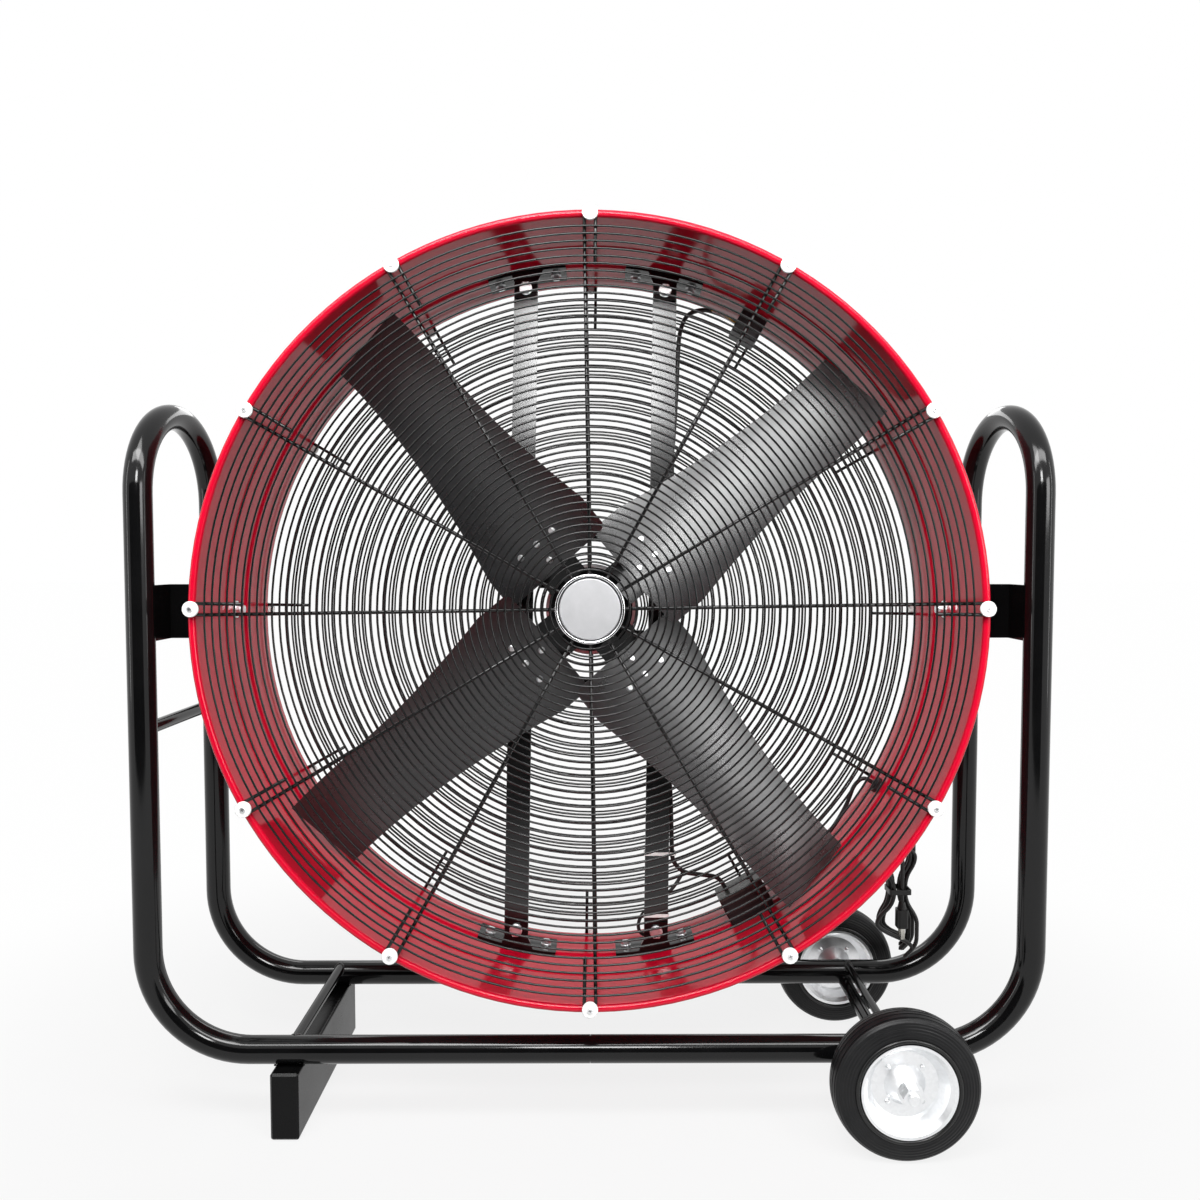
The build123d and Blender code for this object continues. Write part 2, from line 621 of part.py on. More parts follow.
with BuildPart() as axle_nuts:
    for face in (HUB_FACE_Y, -HUB_FACE_Y - WASHER_THICKNESS,
                 SLEEVE_END_Y + SEAT, -INNER_FACE_Y + SEAT):
        with BuildSketch(AXLE_LINE.offset(face)):
            Circle(WASHER_OD / 2)
            Circle(AXLE_D / 2 + SEAT, mode=Mode.SUBTRACT)
        extrude(amount=WASHER_THICKNESS - SEAT)
    for side in (-1, 1):
        with BuildSketch(AXLE_LINE.offset(side * NUT_Y)):
            RegularPolygon(AXLE_NUT_FLATS / 2, 6, major_radius=False)
            Circle(AXLE_D / 2 + SEAT, mode=Mode.SUBTRACT)
        extrude(amount=side * AXLE_NUT_HEIGHT)
save(axle_nuts, "axle_nuts")


# ================================================================ drum shell
def wall_line(offset):
    """The wall's section from rear to front, stepped out at each swage."""
    radius = DRUM_RADIUS + offset
    points = [(radius, -BEAD_Z)]
    for place in sorted(SWAGE_PLACES):
        points += [
            (radius, place - SWAGE_WIDTH / 2),
            (radius + SWAGE_HEIGHT, place - SWAGE_CREST / 2),
            (radius + SWAGE_HEIGHT, place + SWAGE_CREST / 2),
            (radius, place + SWAGE_WIDTH / 2),
        ]
    points.append((radius, BEAD_Z))
    return points


BRACKET_BOLT_Z = BRACKET_FRONT - BRACKET_DEPTH / 2
STRUT_ANGLE = math.degrees(math.acos(STRUT_X / DRUM_RADIUS))
BOLT_TURN = math.degrees(BRACKET_BOLT_REACH / DRUM_RADIUS)
BRACKET_ANGLES = (STRUT_ANGLE, 180 - STRUT_ANGLE, 180 + STRUT_ANGLE, -STRUT_ANGLE)
BRACKET_BOLT_ANGLES = [a + MOUNT_TURN + turn
                       for a in BRACKET_ANGLES for turn in (-BOLT_TURN, BOLT_TURN)]

with BuildPart() as drum_shell:
    with BuildSketch(DRUM_SECTION):
        with BuildLine():
            Polyline(*wall_line(0), *reversed(wall_line(DRUM_WALL)), close=True)
        make_face()
        with Locations((BEAD_CENTRE, BEAD_Z), (BEAD_CENTRE, -BEAD_Z)):
            Circle(BEAD_R)
            Circle(BEAD_R - BEAD_WALL, mode=Mode.SUBTRACT)
    revolve(axis=DRUM_AXIS)
    # pivot bolts
    with Locations(Location((0, 0, PIVOT_Z))):
        Cylinder(PIVOT_BOLT_D / 2 + SLIP, 4 * DRUM_RADIUS, rotation=(0, 90, 0), mode=Mode.SUBTRACT)
    # bolts of the wall brackets
    for angle in BRACKET_BOLT_ANGLES:
        with BuildSketch(wall_plane(angle, BRACKET_BOLT_Z, DRUM_RADIUS)):
            Circle(BRACKET_BOLT_D / 2 + SLIP)
        extrude(amount=2 * BEAD_OD, both=True, mode=Mode.SUBTRACT)
    # cord gland and switch shaft
    with BuildSketch(wall_plane(GLAND_ANGLE, GLAND_MIDDLE, DRUM_RADIUS)):
        Circle(GLAND_THREAD_D / 2 + SLIP)
    extrude(amount=BEAD_OD, both=True, mode=Mode.SUBTRACT)
    with BuildSketch(wall_plane(SWITCH_ANGLE, SWITCH_MIDDLE, DRUM_RADIUS)):
        Circle(KNOB_SHAFT_D / 2 + 1.0)
    extrude(amount=BEAD_OD, both=True, mode=Mode.SUBTRACT)
save(drum_shell, "drum_shell")


# ==================================================================== grilles
RING_PITCH = (RING_LAST - RING_FIRST) / (RING_COUNT - 1)
LONG_SPOKE = BEAD_CENTRE - SPOKE_INNER
SHORT_SPOKE = BEAD_CENTRE - SHORT_SPOKE_INNER


def grille(name, face):
    """Round rings over twelve pairs of radial wires, one long and one short."""
    rings = [(RING_FIRST + RING_PITCH * i, face * RING_Z) for i in range(RING_COUNT)]
    with BuildPart() as guard:
        with BuildSketch(DRUM_SECTION):
            with Locations(*rings):
                RegularPolygon(RING_WIRE / 2, RING_FACETS)
        revolve(axis=DRUM_AXIS)
        for length, inner, turn in ((LONG_SPOKE, SPOKE_INNER, SPOKE_SPREAD),
                                    (SHORT_SPOKE, SHORT_SPOKE_INNER, -SPOKE_SPREAD)):
            for number in range(SPOKE_COUNT):
                place = Location((0, 0, face * SPOKE_Z), (0, 0, number * CLIP_ANGLE + turn))
                stand = Location((inner, 0, 0), (0, 90, 0))
                with BuildSketch(Plane(DRUM.location * place * stand)):
                    Circle(SPOKE_WIRE / 2)
                extrude(amount=length)
    save(guard, name)


grille("front_grille", 1)
grille("rear_grille", -1)


# ------------------------------------------------------------ clips and badge
CLIP_GAP = SPOKE_Z - SPOKE_WIRE / 2    # from the bead's crest to the clip's key

with BuildPart() as grille_clips:
    for face in (1, -1):
        base = DRUM.offset(face * CLIP_BASE)
        with BuildSketch(base):
            with PolarLocations(CLIP_RADIUS, SPOKE_COUNT):
                Circle(CLIP_OD / 2)
        extrude(amount=face * CLIP_THICKNESS)
        rims = grille_clips.faces().sort_by(Axis(DRUM.origin, DRUM.z_dir * face))
        chamfer(rims[-SPOKE_COUNT:].edges(), CLIP_EDGE)
        with BuildSketch(base):
            with PolarLocations(CLIP_RADIUS, SPOKE_COUNT):
                Rectangle(CLIP_KEY_LENGTH, CLIP_KEY_WIDTH)
        extrude(amount=face * (CLIP_GAP - CLIP_BASE))
        with BuildSketch(base.offset(face * CLIP_THICKNESS)):
            with PolarLocations(CLIP_RADIUS, SPOKE_COUNT):
                Circle(CLIP_SCREW_D / 2 + SEAT)
        extrude(amount=-face * (CLIP_TOP - DRUM_HALF_DEPTH + SEAT), mode=Mode.SUBTRACT)
save(grille_clips, "grille_clips")

# thread-forming screws, which cut their own way into the bead
with BuildPart() as clip_screws:
    for face in (1, -1):
        seat = DRUM.offset(face * (CLIP_TOP + SEAT))
        with BuildSketch(seat):
            with PolarLocations(CLIP_RADIUS, SPOKE_COUNT):
                Circle(CLIP_SCREW_HEAD / 2)
        extrude(amount=face * CLIP_SCREW_D / 2)
        heads = clip_screws.faces().sort_by(Axis(DRUM.origin, DRUM.z_dir * face))
        fillet(heads[-SPOKE_COUNT:].edges(), CLIP_SCREW_D / 4)
        with BuildSketch(seat):
            with PolarLocations(CLIP_RADIUS, SPOKE_COUNT):
                Circle(CLIP_SCREW_D / 2)
        extrude(amount=-face * CLIP_SCREW_LENGTH)
save(clip_screws, "clip_screws")

with BuildPart() as badge_ring:
    with BuildSketch(DRUM.offset(SPOKE_TOP + SEAT)):
        Circle(BADGE_RING_OUTER)
    extrude(amount=BADGE_HEIGHT)
    with BuildSketch(DRUM.offset(SPOKE_TOP + SEAT + BADGE_BASE)):
        Circle(BADGE_RING_INNER)
    extrude(amount=BADGE_HEIGHT, mode=Mode.SUBTRACT)
    crest = badge_ring.faces().sort_by(DRUM_AXIS)[-1]
    fillet(crest.edges(), BADGE_BASE)
save(badge_ring, "badge_ring")

with BuildPart() as badge_disc:
    with BuildSketch(DRUM.offset(SPOKE_TOP + BADGE_BASE + 2 * SEAT)):
        Circle(BADGE_RADIUS)
    extrude(amount=BADGE_THICKNESS)
    fillet(badge_disc.faces().sort_by(DRUM_AXIS)[-1].edges(), BADGE_BASE)
save(badge_disc, "badge_disc")


# ============================================================= motor support
MOUNT = Plane(DRUM.location * Location((0, 0, 0), (0, 0, MOUNT_TURN)))

for side, name in ((-1, "motor_strut_left"), (1, "motor_strut_right")):
    with BuildPart() as motor_strut:
        with BuildSketch(MOUNT.offset(STRUT_BACK)):
            with Locations((side * STRUT_X, 0)):
                Rectangle(STRUT_WIDTH, 2 * STRUT_HALF_LENGTH)
            with Locations((side * STRUT_X, STRUT_BOLT_Y), (side * STRUT_X, -STRUT_BOLT_Y)):
                Circle(STRUT_BOLT_D / 2 + SLIP, mode=Mode.SUBTRACT)
            with Locations((side * STRUT_X, YOKE_Y), (side * STRUT_X, -YOKE_Y)):
                Circle(YOKE_BOLT_D / 2 + SLIP, mode=Mode.SUBTRACT)
        extrude(amount=STRUT_THICKNESS)
    save(motor_strut, name)

BRACKET_OUTER = DRUM_RADIUS - SEAT
BRACKET_HALF_ARC = math.degrees(BRACKET_LENGTH / 2 / DRUM_RADIUS)

with BuildPart() as wall_brackets:
    for angle in BRACKET_ANGLES:
        up = 1 if angle in BRACKET_ANGLES[:2] else -1
        across = math.copysign(STRUT_X, math.cos(math.radians(angle)))
        # flange that follows the wall
        with BuildSketch(MOUNT.offset(BRACKET_FRONT - BRACKET_DEPTH)):
            Circle(BRACKET_OUTER)
            Circle(BRACKET_OUTER - BRACKET_THICKNESS, mode=Mode.SUBTRACT)
            with Locations(Location((0, 0, 0), (0, 0, angle))):
                Rectangle(2 * DRUM_RADIUS, BRACKET_LENGTH, mode=Mode.INTERSECT,
                          align=(Align.MIN, Align.CENTER))
        extrude(amount=BRACKET_DEPTH)
        # tab turned in from the flange's front edge
        foot = STRUT_BOLT_Y - BRACKET_TAB_END
        shoulder = STRUT_BOLT_Y + BRACKET_TAB_END / 2
        with BuildSketch(MOUNT.offset(BRACKET_FRONT - BRACKET_THICKNESS)):
            with BuildLine():
                Polyline(
                    (across - BRACKET_TAB_WIDTH / 2, up * foot),
                    (across - BRACKET_TAB_WIDTH / 2, up * shoulder),
                    (across - BRACKET_LENGTH / 4, up * DRUM_RADIUS),
                    (across + BRACKET_LENGTH / 4, up * DRUM_RADIUS),
                    (across + BRACKET_TAB_WIDTH / 2, up * shoulder),
                    (across + BRACKET_TAB_WIDTH / 2, up * foot),
                    close=True,
                )
            make_face()
            Circle(BRACKET_OUTER - BRACKET_THICKNESS / 2, mode=Mode.INTERSECT)
            with Locations((across, up * STRUT_BOLT_Y)):
                Circle(STRUT_BOLT_D / 2 + SLIP, mode=Mode.SUBTRACT)
        extrude(amount=BRACKET_THICKNESS)
    for angle in BRACKET_BOLT_ANGLES:
        with BuildSketch(wall_plane(angle, BRACKET_BOLT_Z, DRUM_RADIUS)):
            Circle(BRACKET_BOLT_D / 2 + SLIP)
        extrude(amount=-4 * BRACKET_THICKNESS, mode=Mode.SUBTRACT)
save(wall_brackets, "wall_brackets")

BRACKET_WASHER_OD = 16.0
BRACKET_HEAD_FLATS = 13.0
BRACKET_HEAD_HEIGHT = 5.3
HEAD_SEAT = math.sqrt((BRACKET_OUTER - BRACKET_THICKNESS) ** 2
                      - (BRACKET_WASHER_OD / 2) ** 2) - SEAT

with BuildPart() as bracket_bolts:
    for angle in BRACKET_BOLT_ANGLES:
        head = wall_plane(angle, BRACKET_BOLT_Z, HEAD_SEAT)
        nut = wall_plane(angle, BRACKET_BOLT_Z, DRUM_OUTER + SEAT)
        with BuildSketch(head):
            Circle(BRACKET_WASHER_OD / 2)
        extrude(amount=-WASHER_THICKNESS)
        with BuildSketch(head.offset(-WASHER_THICKNESS)):
            RegularPolygon(BRACKET_HEAD_FLATS / 2, 6, major_radius=False)
        extrude(amount=-BRACKET_HEAD_HEIGHT)
        with BuildSketch(nut):
            RegularPolygon(BRACKET_HEAD_FLATS / 2, 6, major_radius=False)
        extrude(amount=BRACKET_HEAD_HEIGHT)
        with BuildSketch(head):
            Circle(BRACKET_BOLT_D / 2)
        extrude(amount=DRUM_OUTER - HEAD_SEAT + BRACKET_HEAD_HEIGHT + WASHER_THICKNESS)
save(bracket_bolts, "bracket_bolts")


LUG_Y = math.sqrt(LUG_RADIUS ** 2 - YOKE_LEG_X ** 2)
YOKE_BOLTS = [(x * STRUT_X, y * YOKE_Y) for x in (-1, 1) for y in (-1, 1)]
LUG_BOLTS = [(x * YOKE_LEG_X, y * LUG_Y) for x in (-1, 1) for y in (-1, 1)]

with BuildPart() as motor_yokes:
    for up in (-1, 1):
        with BuildSketch(MOUNT.offset(YOKE_BACK)):
            with Locations((0, up * YOKE_Y)):
                Rectangle(2 * STRUT_X + STRUT_WIDTH, YOKE_WIDTH)
            leg = YOKE_Y - LUG_Y + YOKE_LEG_WIDTH / 2
            with Locations((-YOKE_LEG_X, up * (YOKE_Y - leg / 2)),
                           (YOKE_LEG_X, up * (YOKE_Y - leg / 2))):
                Rectangle(YOKE_LEG_WIDTH, leg)
            Circle(MOTOR_RADIUS + SLIP, mode=Mode.SUBTRACT)
            with Locations(*YOKE_BOLTS, *LUG_BOLTS):
                Circle(YOKE_BOLT_D / 2 + SLIP, mode=Mode.SUBTRACT)
        extrude(amount=YOKE_THICKNESS)
save(motor_yokes, "motor_yokes")

YOKE_HEAD_FLATS = 13.0
YOKE_HEAD_HEIGHT = 5.3
STRUT_WASHER_OD = 20.0
STRUT_HEAD_FLATS = 16.0
STRUT_HEAD_HEIGHT = 6.4
MAIN_BOLTS = [(x * STRUT_X, y * STRUT_BOLT_Y) for x in (-1, 1) for y in (-1, 1)]

with BuildPart() as motor_bolts:
    with BuildSketch(MOUNT.offset(BRACKET_FRONT + SEAT)):
        with Locations(*MAIN_BOLTS):
            Circle(STRUT_WASHER_OD / 2)
    extrude(amount=WASHER_THICKNESS)
    with BuildSketch(MOUNT.offset(BRACKET_FRONT + SEAT + WASHER_THICKNESS)):
        with Locations(*MAIN_BOLTS):
            RegularPolygon(STRUT_HEAD_FLATS / 2, 6, major_radius=False)
    extrude(amount=STRUT_HEAD_HEIGHT)
    with BuildSketch(MOUNT.offset(BRACKET_FRONT + SEAT)):
        with Locations(*MAIN_BOLTS):
            Circle(STRUT_BOLT_D / 2)
    extrude(amount=STRUT_BACK - BRACKET_FRONT - 2 * SEAT - STRUT_HEAD_HEIGHT - WASHER_THICKNESS)
    with BuildSketch(MOUNT.offset(STRUT_BACK - SEAT)):
        with Locations(*MAIN_BOLTS):
            RegularPolygon(STRUT_HEAD_FLATS / 2, 6, major_radius=False)
    extrude(amount=-STRUT_HEAD_HEIGHT)
    with BuildSketch(MOUNT.offset(STRUT_FRONT + SEAT)):
        with Locations(*YOKE_BOLTS):
            RegularPolygon(YOKE_HEAD_FLATS / 2, 6, major_radius=False)
    extrude(amount=YOKE_HEAD_HEIGHT / 2)
    with BuildSketch(MOUNT.offset(STRUT_FRONT + SEAT)):
        with Locations(*YOKE_BOLTS):
            Circle(YOKE_BOLT_D / 2)
    extrude(amount=YOKE_BACK - STRUT_FRONT - YOKE_HEAD_HEIGHT - 3 * SEAT)
    with BuildSketch(MOUNT.offset(YOKE_BACK - SEAT)):
        with Locations(*YOKE_BOLTS):
            RegularPolygon(YOKE_HEAD_FLATS / 2, 6, major_radius=False)
    extrude(amount=-YOKE_HEAD_HEIGHT)
    with BuildSketch(MOUNT.offset(YOKE_FRONT + SEAT)):
        with Locations(*LUG_BOLTS):
            RegularPolygon(YOKE_HEAD_FLATS / 2, 6, major_radius=False)
    extrude(amount=YOKE_HEAD_HEIGHT)
    with BuildSketch(MOUNT.offset(YOKE_FRONT + SEAT)):
        with Locations(*LUG_BOLTS):
            Circle(YOKE_BOLT_D / 2)
    extrude(amount=-YOKE_THICKNESS - LUG_DEPTH)
save(motor_bolts, "motor_bolts")


# ===================================================================== motor
SHELL_FRONT = MOTOR_FRONT - SHIELD_DEPTH
SHELL_REAR = MOTOR_REAR + SHIELD_DEPTH
MOTOR_MIDDLE = (MOTOR_FRONT + MOTOR_REAR) / 2
SHELL_BORE = MOTOR_RADIUS - MOTOR_WALL

with BuildPart() as motor_shell:
    with BuildSketch(MOUNT.offset(SHELL_REAR)):
        Circle(MOTOR_RADIUS)
        Circle(SHELL_BORE, mode=Mode.SUBTRACT)
    extrude(amount=SHELL_FRONT - SHELL_REAR)
    with BuildSketch(MOUNT.offset(YOKE_BACK - SEAT)):
        with Locations(*LUG_BOLTS):
            Rectangle(LUG_WIDTH, LUG_WIDTH)
        Circle(MOTOR_RADIUS - MOTOR_WALL / 2, mode=Mode.SUBTRACT)
        with Locations(*LUG_BOLTS):
            Circle(YOKE_BOLT_D / 2 + SEAT, mode=Mode.SUBTRACT)
    extrude(amount=-LUG_DEPTH)
    # bosses in which the two leads come out
    for angle in (LEAD_EXIT_ANGLE, -LEAD_EXIT_ANGLE):
        with BuildSketch(wall_plane(angle, LEAD_EXIT_Z, LEAD_BOSS_REACH)):
            Circle(LEAD_BOSS_D / 2)
        extrude(amount=MOTOR_RADIUS - MOTOR_WALL / 2 - LEAD_BOSS_REACH)
save(motor_shell, "motor_shell")

SHAFT_HOLE = SHAFT_D / 2 + 1.0
BEARING_SEAT = BEARING_OD / 2 + FIT
BEARING_END = BEARING_INSET + BEARING_WIDTH + 2 * SEAT

with BuildPart() as motor_shields:
    for face, inward in ((MOTOR_FRONT, -1), (MOTOR_REAR, 1)):
        section = Plane(origin=MOUNT.origin + MOUNT.z_dir * face, x_dir=MOUNT.x_dir,
                        z_dir=MOUNT.y_dir * -inward)
        with BuildSketch(section):
            with BuildLine():
                Polyline(
                    (SHAFT_HOLE, 0),
                    (MOTOR_RADIUS - SHIELD_EDGE, 0),
                    (MOTOR_RADIUS, SHIELD_EDGE),
                    (MOTOR_RADIUS, SHIELD_DEPTH - SEAT),
                    (SHELL_BORE - SEAT, SHIELD_DEPTH - SEAT),
                    (SHELL_BORE - SEAT, SHIELD_DEPTH + SHIELD_SPIGOT),
                    (SHELL_BORE - SHIELD_WALL, SHIELD_DEPTH + SHIELD_SPIGOT),
                    (SHELL_BORE - SHIELD_WALL, SHIELD_WALL),
                    (BEARING_SEAT + SHIELD_BOSS_WALL, SHIELD_WALL),
                    (BEARING_SEAT + SHIELD_BOSS_WALL, BEARING_END),
                    (BEARING_SEAT, BEARING_END),
                    (BEARING_SEAT, BEARING_INSET),
                    (SHAFT_HOLE, BEARING_INSET),
                    close=True,
                )
            make_face()
        revolve(axis=DRUM_AXIS)
save(motor_shields, "motor_shields")

with BuildPart() as motor_bearings:
    for face, inward in ((MOTOR_FRONT, -1), (MOTOR_REAR, 1)):
        with BuildSketch(MOUNT.offset(face + inward * (BEARING_INSET + SEAT))):
            Circle(BEARING_OD / 2)
            Circle(SHAFT_D / 2 + FIT, mode=Mode.SUBTRACT)
        extrude(amount=inward * BEARING_WIDTH)
save(motor_bearings, "motor_bearings")

with BuildPart() as stator_core:
    with BuildSketch(MOUNT.offset(MOTOR_MIDDLE)):
        Circle(SHELL_BORE - SEAT)
        Circle(ROTOR_RADIUS + AIR_GAP, mode=Mode.SUBTRACT)
    extrude(amount=STATOR_CORE_LENGTH / 2, both=True)
    with BuildSketch(MOUNT.offset(MOTOR_MIDDLE)):
        Circle(SHELL_BORE - STATOR_WINDING_INSET)
        Circle(ROTOR_RADIUS + STATOR_WINDING_INSET, mode=Mode.SUBTRACT)
    extrude(amount=STATOR_LENGTH / 2, both=True)
save(stator_core, "stator_core")

with BuildPart() as rotor_core:
    with BuildSketch(DRUM.offset(MOTOR_MIDDLE)):
        Circle(ROTOR_RADIUS)
        Circle(SHAFT_D / 2 + FIT, mode=Mode.SUBTRACT)
    extrude(amount=STATOR_LENGTH / 2, both=True)
save(rotor_core, "rotor_core")

with BuildPart() as motor_shaft:
    with BuildSketch(DRUM.offset(MOTOR_REAR + BEARING_INSET + SEAT)):
        Circle(SHAFT_D / 2)
    extrude(amount=SHAFT_FRONT - MOTOR_REAR - BEARING_INSET)
    chamfer(motor_shaft.faces().sort_by(DRUM_AXIS)[-1].edges(), 1.0)
save(motor_shaft, "motor_shaft")


# ================================================================ fan rotor
def blade_place(angle, radius, along):
    """Place on a blade: x points out, y along its curve, z to the front of its face."""
    around = Location((0, 0, 0), (0, 0, angle))
    pitched = Location((radius, 0, BLADE_Z), (-BLADE_PITCH, 0, 0))
    centre = Location((0, 0, BLADE_CAMBER_RADIUS), (math.degrees(along / BLADE_CAMBER_RADIUS), 0, 0))
    back = Location((0, 0, -BLADE_CAMBER_RADIUS))
    return DRUM.location * around * pitched * centre * back


def curved_sheet(angle, start, end, inner, outer):
    """A cambered sheet between two radii of its curve, running out along the blade."""
    root = Plane(blade_place(angle, start, 0))
    with BuildSketch(Plane(origin=root.origin, x_dir=root.y_dir, z_dir=root.x_dir)) as section:
        with Locations((0, BLADE_CAMBER_RADIUS)):
            Circle(outer)
            Circle(inner, mode=Mode.SUBTRACT)
        Rectangle(3 * BLADE_ROOT_HALF, 2 * BLADE_ROOT_HALF, mode=Mode.INTERSECT)
    return extrude(section.sketch, amount=end - start, mode=Mode.PRIVATE)


BLADE_FACE = BLADE_CAMBER_RADIUS - BLADE_THICKNESS / 2
BLADE_BACK = BLADE_CAMBER_RADIUS + BLADE_THICKNESS / 2
ARM_FACE = BLADE_BACK + SEAT
ARM_BACK = ARM_FACE + ARM_THICKNESS
BLADE_ANGLES = [BLADE_START_ANGLE + number * 360 / BLADE_COUNT for number in range(BLADE_COUNT)]
RIVET_PLACES = (
    (RIVET_OUTER, -RIVET_SPACING),
    (RIVET_OUTER, 0),
    (RIVET_OUTER, RIVET_SPACING),
    (RIVET_INNER, 0),
)

for number, angle in enumerate(BLADE_ANGLES):
    leading = math.sqrt(BLADE_TIP ** 2 - BLADE_TIP_LEADING ** 2)
    trailing = math.sqrt(BLADE_TIP ** 2 - BLADE_TIP_TRAILING ** 2)
    with BuildPart() as blade:
        add(curved_sheet(angle, BLADE_ROOT, BLADE_TIP, BLADE_FACE, BLADE_BACK))
        with BuildSketch(Plane(DRUM.location * Location((0, 0, 0), (0, 0, angle)))):
            with BuildLine():
                Polyline((BLADE_SHOULDER, -BLADE_ROOT_HALF), (BLADE_ROOT, -BLADE_ROOT_HALF),
                         (BLADE_ROOT, BLADE_ROOT_HALF), (BLADE_SHOULDER, BLADE_ROOT_HALF))
                Spline((BLADE_SHOULDER, BLADE_ROOT_HALF), BLADE_WAIST, BLADE_MIDDLE, BLADE_OUTER,
                       (leading, BLADE_TIP_LEADING))
                ThreePointArc((leading, BLADE_TIP_LEADING), (BLADE_TIP, 0),
                              (trailing, -BLADE_TIP_TRAILING))
                Spline((trailing, -BLADE_TIP_TRAILING), (BLADE_OUTER[0], -BLADE_OUTER[1]),
                       (BLADE_MIDDLE[0], -BLADE_MIDDLE[1]), (BLADE_WAIST[0], -BLADE_WAIST[1]),
                       (BLADE_SHOULDER, -BLADE_ROOT_HALF))
            outline = make_face()
            corners = outline.vertices().sort_by(Axis.X)
            fillet(corners[:2], BLADE_ROOT_FILLET)
            tips = outline.vertices().sort_by(Axis.X)
            fillet(tips[-2:], BLADE_TIP_FILLET)
        extrude(amount=BLADE_DEPTH, both=True, mode=Mode.INTERSECT)
        for radius, along in RIVET_PLACES:
            with BuildSketch(Plane(blade_place(angle, radius, along))):
                Circle(RIVET_D / 2 + SEAT)
            extrude(amount=2 * BLADE_THICKNESS, both=True, mode=Mode.SUBTRACT)
    save(blade, f"blade_{number + 1}")

SPIDER_MIDDLE = BLADE_Z - BLADE_THICKNESS - ARM_THICKNESS

with BuildPart() as blade_spider:
    for angle in BLADE_ANGLES:
        with BuildPart(mode=Mode.PRIVATE) as arm:
            add(curved_sheet(angle, ARM_NECK, ARM_END, ARM_FACE, ARM_BACK))
            with BuildSketch(Plane(DRUM.location * Location((0, 0, 0), (0, 0, angle)))):
                with BuildLine():
                    Polyline((ARM_NECK, -ARM_HALF_NECK), (BLADE_ROOT, -ARM_HALF_NECK),
                             (ARM_END, -ARM_HALF_END), (ARM_END, ARM_HALF_END),
                             (BLADE_ROOT, ARM_HALF_NECK), (ARM_NECK, ARM_HALF_NECK), close=True)
                plate = make_face()
                fillet(plate.vertices().sort_by(Axis.X)[-2:], ARM_FILLET)
            extrude(amount=BLADE_DEPTH, both=True, mode=Mode.INTERSECT)
        add(arm.part)
    with BuildSketch(DRUM.offset(SPIDER_MIDDLE)):
        Circle(SPIDER_DISC_RADIUS)
    extrude(amount=SPIDER_DISC_THICKNESS / 2, both=True)
    with BuildSketch(DRUM.offset(SPIDER_MIDDLE)):
        Circle(HUB_RADIUS + SEAT)
    extrude(amount=BLADE_DEPTH, both=True, mode=Mode.SUBTRACT)
    for angle in BLADE_ANGLES:
        for radius, along in RIVET_PLACES:
            with BuildSketch(Plane(blade_place(angle, radius, along))):
                Circle(RIVET_D / 2 + SEAT)
            extrude(amount=-4 * ARM_THICKNESS, mode=Mode.SUBTRACT)
save(blade_spider, "blade_spider")

with BuildPart() as blade_rivets:
    for angle in BLADE_ANGLES:
        for radius, along in RIVET_PLACES:
            spot = Plane(blade_place(angle, radius, along))
            face = spot.offset(BLADE_THICKNESS / 2 + SEAT)
            rear = spot.offset(BLADE_CAMBER_RADIUS - ARM_BACK - SEAT)
            with BuildSketch(face):
                Circle(RIVET_HEAD_D / 2)
            extrude(amount=RIVET_HEAD, taper=25)
            with BuildSketch(face):
                Circle(RIVET_D / 2)
            extrude(amount=-BLADE_THICKNESS - ARM_THICKNESS - 3 * SEAT)
            with BuildSketch(rear):
                Circle(RIVET_HEAD_D / 2)
            extrude(amount=-RIVET_HEAD)
save(blade_rivets, "blade_rivets")

SET_SCREW_D = 6.0

with BuildPart() as hub_boss:
    with BuildSketch(DRUM.offset(HUB_REAR)):
        Circle(HUB_RADIUS)
        Circle(SHAFT_D / 2 + FIT, mode=Mode.SUBTRACT)
    extrude(amount=HUB_FRONT - HUB_REAR)
    with BuildSketch(Plane(DRUM.location * Location((0, 0, HUB_FRONT - SET_SCREW_D), (90, 0, 0)))):
        Circle(SET_SCREW_D / 2)
    extrude(amount=2 * HUB_RADIUS, mode=Mode.SUBTRACT)
save(hub_boss, "hub_boss")


# ============================================================ speed switch
def seat_height(half_size):
    """How far a flat face of this half size stays inside the round wall."""
    return DRUM_RADIUS - math.sqrt(DRUM_RADIUS ** 2 - half_size ** 2) + SEAT


SWITCH_WALL = wall_plane(SWITCH_ANGLE, SWITCH_MIDDLE, DRUM_RADIUS)
SWITCH_BASE = -seat_height(SWITCH_SIZE / 2)
DIAL_BASE = DRUM_WALL + SEAT
KNOB_BASE = DIAL_BASE + DIAL_THICKNESS + 4 * SEAT

with BuildPart() as switch_box:
    with BuildSketch(SWITCH_WALL.offset(SWITCH_BASE)):
        RectangleRounded(SWITCH_SIZE, SWITCH_SIZE, BOX_FILLET)
    extrude(amount=-SWITCH_HEIGHT)
    inner_face = switch_box.faces().sort_by(Axis(SWITCH_WALL.origin, SWITCH_WALL.z_dir))[0]
    chamfer(inner_face.edges(), BOX_FILLET / 2)
    with BuildSketch(SWITCH_WALL.offset(SWITCH_BASE)):
        Circle(KNOB_SHAFT_D / 2 + FIT)
    extrude(amount=-KNOB_SHAFT_REACH - 1.0, mode=Mode.SUBTRACT)
save(switch_box, "switch_box")

with BuildPart() as dial_plate:
    with BuildSketch(SWITCH_WALL.offset(DIAL_BASE)):
        RectangleRounded(DIAL_SIZE, DIAL_SIZE, BOX_FILLET)
        Circle(KNOB_SHAFT_D / 2 + 1.0, mode=Mode.SUBTRACT)
    extrude(amount=DIAL_THICKNESS)
save(dial_plate, "dial_plate")

